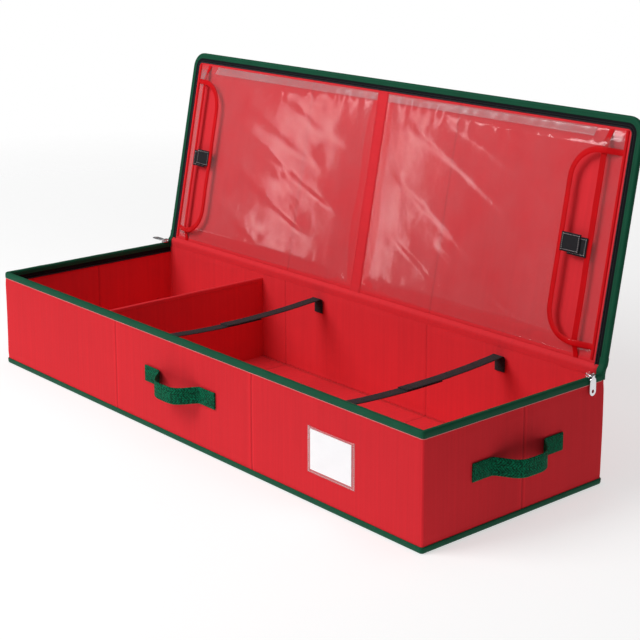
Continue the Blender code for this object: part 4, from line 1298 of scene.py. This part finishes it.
# Each ridge in the film: its two ends as (x, u), and its height
creaseLines = {
    "left": [
        ((-0.475, 0.290), (-0.050, 0.120), 0.0008), ((-0.440, 0.318), (-0.110, 0.190), 0.0005),
        ((-0.470, 0.215), (-0.120, 0.070), 0.0006), ((-0.300, 0.325), (-0.030, 0.225), 0.0005),
        ((-0.460, 0.130), (-0.240, 0.030), 0.0006), ((-0.400, 0.250), (-0.200, 0.155), 0.0004),
    ],
    "right": [
        ((0.060, 0.300), (0.390, 0.150), 0.0007), ((0.120, 0.322), (0.400, 0.215), 0.0005),
        ((0.040, 0.215), (0.330, 0.070), 0.0006), ((0.160, 0.120), (0.405, 0.020), 0.0006),
        ((0.240, 0.318), (0.405, 0.262), 0.0005), ((0.060, 0.120), (0.230, 0.030), 0.0005),
    ],
}
ridge = {"steep": 0.007, "gentle": 0.022, "ends": 0.15}
slack = {"swell": 0.0007, "swellSize": 0.130, "ripple": 0.00012, "rippleSize": 0.040, "ridges": 1.15}


def creaseHeight(side, x, u):
    # Long low ridges across the film, one flank of each steeper than the other
    total = 0.0
    for (ax, au), (bx, bu), height in creaseLines[side]:
        dx, du = bx - ax, bu - au
        length = math.hypot(dx, du)
        t = ((x - ax) * dx + (u - au) * du) / length ** 2
        gap = ((x - ax) * du - (u - au) * dx) / length + 0.010 * waves(t, height, 0.5, 31.0)
        ends = smoothStep(0.0, ridge["ends"], t) * smoothStep(-1.0, ridge["ends"] - 1, -t)
        width = ridge["steep"] if gap > 0 else ridge["gentle"]
        total += height * peak(gap, width) * ends * (0.8 + 0.5 * waves(t, ax, 0.25, 12.0))
    return total


def filmN(side, x, u):
    low, high = u - pocket["foot"], pocket["head"] - u
    loose = min(smoothStep(0.004, 0.050, low), smoothStep(0.004, 0.050, high))
    loose *= smoothStep(0.006, 0.080, abs(x)) * (1 - 0.8 * smoothStep(0.40, 0.495, abs(x)))
    stand = slack["swell"] * (0.45 + waves(x, u, slack["swellSize"], 5.0))
    stand += slack["ripple"] * waves(x, u, slack["rippleSize"], 9.0)
    stand = loose * (stand + slack["ridges"] * creaseHeight(side, x, u))
    # Puckers along the seams at the head and the foot
    for gap, wide, deep, seed in ((high - 0.012, 0.0052, 0.0005, 2.0), (low - 0.009, 0.0060, 0.0004, 9.0)):
        fade = fading(max(0.0, gap), 0.012) * smoothStep(0.0, 0.008, min(high, low))
        fade *= smoothStep(0.002, 0.030, abs(x))
        stand += deep * (0.5 + 0.5 * math.sin(x / wide + 4 * waves(x, seed, 0.05, 2.0))) * fade
    return pocketN(x, u) - max(0.0, stand)


def pocketFilm(name, side, node):
    # A grid whose outer columns part round the mouth
    p, sign, radius, foot, head = pocket, signs[side], pocket["mouthRadius"], pocket["foot"], pocket["head"]
    low, high = p["mouthLow"] + radius, p["mouthHigh"] - radius
    lower, middle, upper = (spread(a, b, p["step"]) for a, b in ((foot, low), (low, high), (high, head)))
    rowsU = lower + middle[1:-1] + upper
    firstUpper = len(rowsU) - len(upper)
    centre = p["mouthEdge"] + radius
    columns = spread(p["inner"], p["mouthEdge"], p["step"])
    steps = p["mouthSteps"]
    columns += [centre - radius * math.cos(math.pi / 2 * k / steps) for k in range(1, steps + 1)]
    columns += spread(centre, p["end"], p["step"])[1:]
    atMouth, pastMouth = p["mouthEdge"] - 1e-9, p["mouthEdge"] + 1e-9
    index, points, uvs = {}, [], []
    for i, x in enumerate(columns):
        drop = math.sqrt(max(0.0, radius ** 2 - max(0.0, centre - x) ** 2)) if x > p["mouthEdge"] else 0.0
        for j, u in enumerate(rowsU):
            if x > pastMouth and len(lower) <= j < firstUpper:
                continue
            if x > pastMouth and j < len(lower):
                u = foot + (u - foot) * (low - drop - foot) / (low - foot)
            elif x > pastMouth:
                u = head - (head - u) * (head - high - drop) / (head - high)
            index[i, j] = len(points)
            points.append(lidPoint(sign * x, filmN(side, sign * x, u), u))
            uvs.append((sign * x, u))
    faces = []
    for i in range(len(columns) - 1):
        for j in range(len(rowsU) - 1):
            corners = [(i, j), (i + 1, j), (i + 1, j + 1), (i, j + 1)]
            inMouth = columns[i] >= atMouth and len(lower) - 1 <= j < firstUpper
            if not inMouth and all(c in index for c in corners):
                face = [index[c] for c in corners]
                faces.append(face if sign > 0 else face[::-1])
    made = newObject(name, points, faces, [[uvs[v] for v in f] for f in faces])
    place(giveThickness(made, p["film"]), clearFilm, "lid", "clear_film", [node])
    flatArea = (p["end"] - p["inner"]) * (head - foot)
    hole = (p["end"] - p["mouthEdge"]) * (p["mouthHigh"] - p["mouthLow"]) - (2 - math.pi / 2) * radius ** 2
    return made, flatArea - hole


def mouthLine(away):
    # From the seam at the foot round to the seam at the head, `away` from the opening: (x, u, out x, out u)
    p = pocket
    radius, left = p["mouthRadius"] + away, p["mouthEdge"] + p["mouthRadius"]
    low, high = p["mouthLow"] + p["mouthRadius"], p["mouthHigh"] - p["mouthRadius"]
    ends = spread(left, p["end"] + 0.0025, 0.005)
    line = [(x, p["mouthLow"] - away, 0, -1) for x in ends[::-1]]
    line += cornerArc(left, low, radius, -math.pi / 2, p["mouthSteps"], -1)
    line += [(left - radius, u, -1, 0) for u in spread(low, high, 0.006)]
    line += cornerArc(left, high, radius, math.pi, p["mouthSteps"], -1)
    return line + [(x, p["mouthHigh"] + away, 0, 1) for x in ends]


mouthTape = {"width": 0.0085, "thick": 0.0011, "sink": 0.0011, "overlap": 0.0005, "seamIn": 0.0018}


def mouthTapeN(side, x, u):
    # The tape lies on the film, and goes down to the lining at its two ends
    sink = mouthTape["sink"] * smoothStep(pocket["end"] - 0.009, pocket["end"], abs(x))
    return filmN(side, x, u) - pocket["film"] - 0.0001 + sink


def mouthBinding(name, side, node):
    # Satin tape folded over the film's cut edge
    sign, half, t = signs[side], mouthTape["width"] / 2, mouthTape["thick"]
    profile = [
        (-half, 0.0), (-half - 0.0003, -t * 0.5), (-half + 0.0008, -t), (-half * 0.4, -t * 1.25),
        (half * 0.4, -t * 1.2), (half - 0.0008, -t), (half, -t * 0.6), (half, 0.0), (0, 0.0006),
    ]
    stations = []
    for x, u, outX, outU in mouthLine(half - mouthTape["overlap"]):
        origin = lidPoint(sign * x, mouthTapeN(side, sign * x, u), u)
        stations.append((origin, lidWay(sign * outX, 0, outU), lidWay(0, 1, 0)))
    made = sweptObject(name, stations, profile, sharp=70)
    place(made, redTape, "lid", "red_tape", [node])
    seam = [
        (lidPoint(sign * x, mouthTapeN(side, sign * x, u) - t * 1.1, u), lidWay(sign * outX, 0, outU))
        for x, u, outX, outU in mouthLine(mouthTape["width"] - mouthTape["seamIn"])
    ]
    repeatAlong(name + "Stitches", [seam], "redTape", "lid", "red_tape")
    return made


endTape = {"near": 0.4940, "far": 0.4992, "thick": 0.0020, "step": 0.006, "past": 0.0010, "seamIn": 0.0016}


def pocketEndTape(name, side):
    # Flat tape along the pocket's outer end, sewn down to the lining on both edges
    t, thick, across = endTape, endTape["thick"], lidWay(signs[side], 0, 0)
    a, b, ground = t["near"], t["far"], lid["liningN"] - 0.0006
    profile = [
        (a, ground), (a + 0.0003, ground - thick * 0.8), (a + 0.0012, ground - thick),
        (b - 0.0012, ground - thick * 0.9), (b - 0.0002, ground - thick * 0.5), (b, ground),
    ]
    low, high = pocket["foot"], pocket["head"]
    levels = spread(low - t["past"], high + t["past"], t["step"])
    stations = [(lidPoint(0, 0, u), across, lidWay(0, 1, 0)) for u in levels]
    place(sweptObject(name, stations, profile, sharp=70), redTape, "lid", "red_tape")
    seamX, seamN = signs[side] * (b - t["seamIn"]), ground - thick * 0.92
    seam = [(lidPoint(seamX, seamN, u), across) for u in spread(low, high, t["step"])]
    repeatAlong(name + "Stitches", [seam], "redTape", "lid", "red_tape")


lip = {
    "low": 0.0170, "high": 0.3240, "tapeLow": 0.0045, "tapeHigh": 0.3325, "tapeWidth": 0.0080,
    "tapeThick": 0.0015, "depth": 0.0102, "film": 0.0004, "stepAcross": 0.0026, "stepUp": 0.005,
    "tapeStep": 0.006, "seamOut": 0.0026,
}


def lipEnds(u):
    return smoothStep(0.0040, 0.0320, u) * smoothStep(-0.3350, -0.3080, -u)


def lipN(x, u):
    # A strip from the seam that stands off towards the mouth, drawn in at its two ends
    share = (pocket["end"] - abs(x)) / (pocket["end"] - pocket["lipEdge"])
    return lid["liningN"] - 0.0004 - lip["depth"] * max(0.0, share) * lipEnds(u) - 0.0004


def lipFilm(side, node):
    def spot(x, u):
        ripple = 0.0005 * waves(x * 3, u, 0.03, 44.0) * smoothStep(0.0, 0.02, pocket["end"] - x)
        return lidPoint(signs[side] * x, lipN(x, u) + ripple, u), (x, u)

    places = spread(pocket["lipEdge"], pocket["end"] + 0.001, lip["stepAcross"])
    levels = spread(lip["low"], lip["high"], lip["stepUp"])
    made = sheetOver(side + "PocketLip", places, levels, spot, flip=signs[side] < 0)
    place(giveThickness(made, lip["film"]), clearFilm, "lid", "clear_film", [node])


def lipTape(side, node):
    sign, half, t = signs[side], lip["tapeWidth"] / 2, lip["tapeThick"]
    profile = [
        (-half, 0.0), (-half - 0.0002, -t * 0.5), (-half + 0.0008, -t * 0.9), (-half * 0.4, -t),
        (half * 0.4, -t), (half - 0.0008, -t * 0.9), (half + 0.0002, -t * 0.5), (half, 0.0),
    ]
    stations = []
    for u in spread(lip["tapeLow"], lip["tapeHigh"], lip["tapeStep"]):
        x = pocket["lipEdge"] + half - 0.001 + 0.0007 * waves(u, 0, 0.06, 71.0)
        slope = lip["depth"] / (pocket["end"] - pocket["lipEdge"]) * lipEnds(u)
        across = lidWay(sign, slope, 0).normalized()
        inward = across.cross(lidWay(0, 0, sign)).normalized()
        stations.append((lidPoint(sign * x, lipN(x, u) - 0.0006, u), across, inward))
    made = sweptObject(side + "LipTape", stations, profile, sharp=70)
    place(made, redTape, "lid", "red_tape", [node])
    lines = [
        [(origin + across * a - inward * (t + 0.0001), across) for origin, across, inward in stations]
        for a in (-lip["seamOut"], lip["seamOut"])
    ]
    repeatAlong(side + "LipStitches", lines, "redTape", "lid", "red_tape")


closure = {
    "u": 0.164, "height": 0.028, "tabX": 0.4195, "tabLength": 0.0350, "patchX": 0.4660,
    "patchLength": 0.0340, "patchDrop": 0.003, "thick": 0.0011, "step": 0.002, "tabOut": 0.0022,
    "patchOut": 0.0018, "puff": 0.0004, "seamIn": 0.0028, "seamOut": 0.0004, "seamStep": 0.004,
}


def closurePad(name, node, side, a, b, n, u):
    # A napped rectangle with a stitched border, its faces level with the pocket
    c, sign, half = closure, signs[side], closure["height"] / 2

    def spot(x, v):
        edge = min(x - a, b - x, half - abs(v))
        puff = c["puff"] * smoothStep(0.0, 0.0015, edge) - 0.00025 * peak(edge - c["seamIn"], 0.0008)
        return lidPoint(sign * x, n - puff - 0.0002 * waves(x, v, 0.01, 15.0), u + v), (x, v)

    made = sheetOver(name, spread(a, b, c["step"]), spread(-half, half, c["step"]), spot, flip=sign < 0)
    place(giveThickness(made, c["thick"]), hookFelt, "lid", "hook_and_loop", [node])
    left, right, reach = a + c["seamIn"], b - c["seamIn"], half - c["seamIn"]
    corners = [(left, -reach), (right, -reach), (right, reach), (left, reach)]
    spots = [lidPoint(sign * x, n - c["seamOut"], u + v) for x, v in corners]
    pairs = zip(spots, spots[1:] + spots[:1])
    lines = [straightLine(p, q, lidWay(0, -1, 0), c["seamStep"]) for p, q in pairs]
    repeatAlong(name + "Stitches", lines, "closure", "lid", "hook_and_loop")
    return made


hem = {"from": 0.013, "pastMouth": 0.022, "deep": 0.0135, "under": 0.0005, "step": 0.003, "stepUp": 0.0026}


def pocketHem(side):
    # The film's turned hem along the head
    levels = spread(pocket["head"] - hem["deep"], pocket["head"] - hem["under"], hem["stepUp"])
    sign = signs[side]

    def spot(x, k):
        n = filmN(side, sign * x, levels[k]) - pocket["film"] - 0.0002
        return lidPoint(sign * x, n, levels[k]), (x, k * hem["stepUp"])

    places = spread(hem["from"], pocket["mouthEdge"] + hem["pastMouth"], hem["step"])
    made = sheetOver(side + "PocketHem", places, range(len(levels)), spot, flip=sign < 0)
    place(giveThickness(made, 0.0003), clearHem, "lid", "clear_film")


def pocketSide(side):
    film, area = pocketFilm(side + "Pocket", side, side + "_pocket_film")
    tape = mouthBinding(side + "MouthTape", side, side + "_mouth_tape")
    lipFilm(side, side + "_pocket_lip")
    lipTape(side, side + "_lip_tape")
    pocketEndTape(side + "EndTape", side)
    c = closure
    tabN = filmN(side, signs[side] * pocket["mouthEdge"], c["u"]) - c["tabOut"]
    tabEnds = c["tabX"], c["tabX"] + c["tabLength"]
    tab = closurePad(side + "ClosureTab", side + "_closure_tab", side, *tabEnds, tabN, c["u"])
    patchN = lipN(pocket["lipEdge"], c["u"]) - c["patchOut"]
    patchEnds = c["patchX"] - c["patchLength"], c["patchX"]
    patchU = c["u"] - c["patchDrop"]
    closurePad(side + "ClosurePatch", side + "_closure_patch", side, *patchEnds, patchN, patchU)
    pocketHem(side)


pocketSide("left")
pocketSide("right")

band = {
    "half": 0.0122, "thick": 0.0009, "low": 0.0040, "high": 0.3335, "step": 0.006, "wobble": 0.0004,
    "out": 0.0010, "seamHalf": 0.0100, "seamOut": 0.0006,
}


def centreBand():
    n, low, high = lid["liningN"] - band["out"], band["low"], band["high"]
    stations = [
        (lidPoint(band["wobble"] * waves(u, 0, 0.08, 77.0), n, u), lidWay(1, 0, 0), lidWay(0, -1, 0))
        for u in spread(low, high, band["step"])
    ]
    made = sweptObject("centreBand", stations, ribbonProfile(band["half"] * 2, band["thick"]), sharp=70)
    place(made, redLining, "lid", "red_tape", ["lid_centre_band"])
    face = n - band["seamOut"]
    lines = [
        straightLine(lidPoint(x, face, low), lidPoint(x, face, high), lidWay(1, 0, 0))
        for x in (-band["seamHalf"], band["seamHalf"])
    ]
    repeatAlong("centreBandStitches", lines, "centreBand", "lid", "red_tape")


centreBand()
print("pockets made")


# Zip sliders and pulls

def flatShape(name, outlines, extrude, bevel, toWorld):
    # A flat curve with holes, given a thickness and a soft edge, then turned to mesh in place
    curve = bpy.data.curves.new(name, "CURVE")
    curve.dimensions = "2D"
    curve.fill_mode = "BOTH"
    curve.extrude, curve.bevel_depth, curve.bevel_resolution = extrude, bevel, 2
    for outline in outlines:
        spline = curve.splines.new("POLY")
        spline.points.add(len(outline) - 1)
        for point, (a, b) in zip(spline.points, outline):
            point.co = (a, b, 0, 1)
        spline.use_cyclic_u = True
    shape = bpy.data.objects.new(name + "Curve", curve)
    bpy.context.scene.collection.objects.link(shape)
    bpy.context.view_layer.update()
    deps = bpy.context.evaluated_depsgraph_get()
    mesh = bpy.data.meshes.new_from_object(shape.evaluated_get(deps), depsgraph=deps)
    bpy.data.objects.remove(shape)
    for vertex in mesh.vertices:
        vertex.co = toWorld(vertex.co)
    mesh.name = name
    return mesh


def arcPoints(x, y, radius, start, end, count):
    angles = [start + (end - start) * k / count for k in range(count + 1)]
    return [(x + radius * math.cos(a), y + radius * math.sin(a)) for a in angles]


def circle(x, y, radius, count):
    return arcPoints(x, y, radius, 0, 2 * math.pi * (count - 1) / count, count - 1)


def meshOf(made):
    mesh = made.data
    bpy.data.objects.remove(made)
    return mesh


def joined(name, meshes):
    # Several meshes as one object
    points, faces = [], []
    for mesh in meshes:
        start = len(points)
        points += [v.co.copy() for v in mesh.vertices]
        faces += [[start + v for v in f.vertices] for f in mesh.polygons]
    made = newObject(name, points, faces)
    made.data.update()
    sharpen(made, 40)
    return made


slider = {
    "length": 0.0136, "width": 0.0098, "low": 0.1653, "height": 0.0053, "plate": 0.0013, "bevel": 0.0003,
    "inBevel": 0.94, "postRadius": 0.0015, "postBack": 0.002, "pivotOut": 0.0036, "pivotZ": 0.1680,
    "loopRadius": 0.0008, "loopIn": 0.0026,
}


def sliderPiece(name, node, body, side, y):
    # Two plates joined by a post, with a wire loop for the pull
    s = slider
    x = side * (box["halfLength"] - box["wall"] / 2)
    half, w = s["length"] / 2, s["width"] / 2
    outline = arcPoints(0, half - w * 0.75, w * 0.98, 0.15, math.pi - 0.15, 12)
    shoulder = -half + 0.0012
    outline += [(-w * 0.80, shoulder), (-w * 0.45, -half), (w * 0.45, -half), (w * 0.80, shoulder)]
    outline = [(a, max(-half, min(half, b))) for a, b in outline]
    shrink = Vector((s["inBevel"], s["inBevel"], 1))
    parts = []
    for z in (s["low"] + s["plate"] / 2, s["low"] + s["height"] - s["plate"] / 2):
        middle, thick = Vector((x, y, z)), s["plate"] / 2 - s["bevel"]
        parts.append(flatShape(name, [outline], thick, s["bevel"], lambda p: middle + p * shrink))
    postFoot = Vector((x, y + s["postBack"], s["low"] + s["height"] / 2))
    post = circle(0, 0, s["postRadius"], 16)
    parts.append(flatShape(name, [post], s["height"] / 2 - 0.0008, 0.0001, lambda p: postFoot + p))
    near, pivotX = x + side * s["loopIn"], side * (box["halfLength"] + s["pivotOut"])
    bend, wide, straight = pivotX - side * 0.0016, 0.0041, 0.0031
    loop = [(near, -wide), (bend, -wide), (pivotX, -straight), (pivotX, straight), (bend, wide), (near, wide)]
    line = [Vector((a, b, s["pivotZ"])) for a, b in smoothRun([(a, y + b) for a, b in loop], 28)]
    parts.append(meshOf(roundLine(name + "Loop", line, s["loopRadius"], 8)))
    place(joined(name, parts), zipMetal, body, "zip_metal", [node])


pull = {
    "length": 0.0290, "width": 0.0128, "neck": 0.0084, "neckIn": 0.0029, "thick": 0.0016, "hole": 0.0028,
    "holeFromEnd": 0.0064, "bevel": 0.0003, "inBevel": 0.97, "eyeRadius": 0.0016,
}


def pullPiece(name, node, body, pivot, down, out):
    # down is the way the tab points, out the way its face looks
    p = pull
    pivot, down, out = Vector(pivot), Vector(down), Vector(out)
    w, n, neckIn = p["width"] / 2, p["neck"] / 2, p["neckIn"]
    outline = [(-neckIn, -0.0014), (neckIn, -0.0014), (neckIn, -0.0030)]
    outline += smoothRun([(n, -0.0040), (w - 0.0010, -0.0056), (w - 0.0003, -0.0090), (w, -0.0190)], 10)
    outline += arcPoints(0, -p["length"] + w, w, 0, -math.pi, 16)
    outline += smoothRun([(-w, -0.0190), (-w + 0.0003, -0.0090), (-w + 0.0010, -0.0056), (-n, -0.0040)], 10)
    outline.append((-neckIn, -0.0030))
    hole = circle(0, -p["length"] + p["holeFromEnd"], p["hole"], 18)
    tab = flatShape(
        name, [outline, hole], p["thick"] / 2 - p["bevel"], p["bevel"],
        lambda q: pivot + yWay * (q.x * p["inBevel"]) - down * q.y + out * q.z,
    )
    ways = [down * c + out * s for c, s in circle(0, 0, 1, 18)]
    stations = [(pivot + way * p["eyeRadius"], way, yWay) for way in ways]
    profile = [
        (-0.00035, -0.0022), (0.00015, -0.0025), (0.00035, -0.0020), (0.0004, 0.0), (0.00035, 0.0020),
        (0.00015, 0.0025), (-0.00035, 0.0022),
    ]
    eye = meshOf(sweptObject(name + "Eye", stations, profile, closed=True))
    place(joined(name, [tab, eye]), zipMetal, body, "zip_metal", [node])


pullWays = {"right": ((0, 0, -1), (1, 0, 0)), "left": ((-1, 0, 0), (0, 0, 1))}
pivots = {side: joints[side + "_pull_swing"]["pos_m"] for side in pullWays}
for side, pivot in pivots.items():
    sliderPiece(side + "Slider", side + "_zip_slider", side + "_slider", signs[side], pivot[1])
for side, pivot in pivots.items():
    pullPiece(side + "Pull", side + "_zip_pull", side + "_pull", pivot, *pullWays[side])
print("zip sliders made")


# Pieces kept from the frame

kept = {"label_card": cardPaper}
kept.update({name: fibreBoard for name in frame["nodes"] if "_board" in name})
for name, look in kept.items():
    materials = frame["nodes"][name].data.materials
    materials.clear()
    materials.append(look)


# Stage, light and camera

stage = {"half": 5.0, "colour": 0.62, "glow": 0.56, "fadeFrom": 0.9, "fadeTo": 2.8}


def floorSheet():
    h = stage["half"]
    made = newObject("studioFloor", [(-h, -h, 0), (h, -h, 0), (h, h, 0), (-h, h, 0)], [[0, 1, 2, 3]])
    look, tree, shader = material(
        "studioPaper", [stage["colour"]] * 3, 0.85, Specular_IOR_Level=0.1, Emission_Color=(1, 1, 1, 1),
        Emission_Strength=stage["glow"],
    )
    coordinates, length = tree.nodes.new("ShaderNodeTexCoord"), tree.nodes.new("ShaderNodeVectorMath")
    length.operation = "LENGTH"
    tree.links.new(coordinates.outputs["Object"], length.inputs[0])
    fade = toRange(tree, length.outputs["Value"], 1.0, 0.0, stage["fadeFrom"], stage["fadeTo"])
    tree.links.new(fade, shader.inputs["Alpha"])
    made.data.materials.append(look)


floorSheet()


def aimed(made, location, way):
    bpy.context.scene.collection.objects.link(made)
    made.location = location
    made.rotation_euler = way.to_track_quat("-Z", "Y").to_euler()


def softLight(name, location, target, size, power):
    data = bpy.data.lights.new(name, "AREA")
    data.shape, data.size, data.size_y, data.energy = "RECTANGLE", size[0], size[1], power
    aimed(bpy.data.objects.new(name, data), location, Vector(target) - Vector(location))


softLight("keyLight", (-1.2, -2.6, 2.6), (0, 0, 0.15), (2.2, 2.2), 93)
softLight("topLight", (0.3, 0.2, 3.2), (0, 0, 0), (2.6, 2.6), 16)
softLight("stripLight", (-2.3, -1.9, 0.9), (0, 0.1, 0.3), (0.13, 1.5), 2.6)

sky = {"strength": 0.165, "seenStrength": 1.0}  # The camera sees pure white, and the pieces a fainter light
world = bpy.data.worlds.new("studio")
bpy.context.scene.world = world
world.use_nodes = True
nodes, links = world.node_tree.nodes, world.node_tree.links
lit, seen = nodes["Background"], nodes.new("ShaderNodeBackground")
lit.inputs[0].default_value, lit.inputs[1].default_value = (1, 1, 1, 1), sky["strength"]
seen.inputs[0].default_value, seen.inputs[1].default_value = (1, 1, 1, 1), sky["seenStrength"]
which, path = nodes.new("ShaderNodeMixShader"), nodes.new("ShaderNodeLightPath")
for source, socket in zip((path.outputs["Is Camera Ray"], lit.outputs[0], seen.outputs[0]), which.inputs):
    links.new(source, socket)
links.new(which.outputs[0], nodes["World Output"].inputs["Surface"])

view = {
    "azimuth": 49.117, "elevation": 11.797, "distance": 2.3053, "target": (0.1168, 0.0, 0.3838),
    "lens": 87.07, "sensor": 36.0, "shiftY": -0.2,
}
azimuth, elevation = math.radians(view["azimuth"]), math.radians(view["elevation"])
level = math.cos(elevation)
back = Vector((math.sin(azimuth) * level, -math.cos(azimuth) * level, math.sin(elevation)))
optics = bpy.data.cameras.new("camera")
optics.lens, optics.sensor_width, optics.shift_y = view["lens"], view["sensor"], view["shiftY"]
camera = bpy.data.objects.new("camera", optics)
aimed(camera, Vector(view["target"]) + back * view["distance"], -back)
bpy.context.scene.camera = camera
bpy.context.scene.view_settings.view_transform = "Standard"
print("stage, light and camera set")
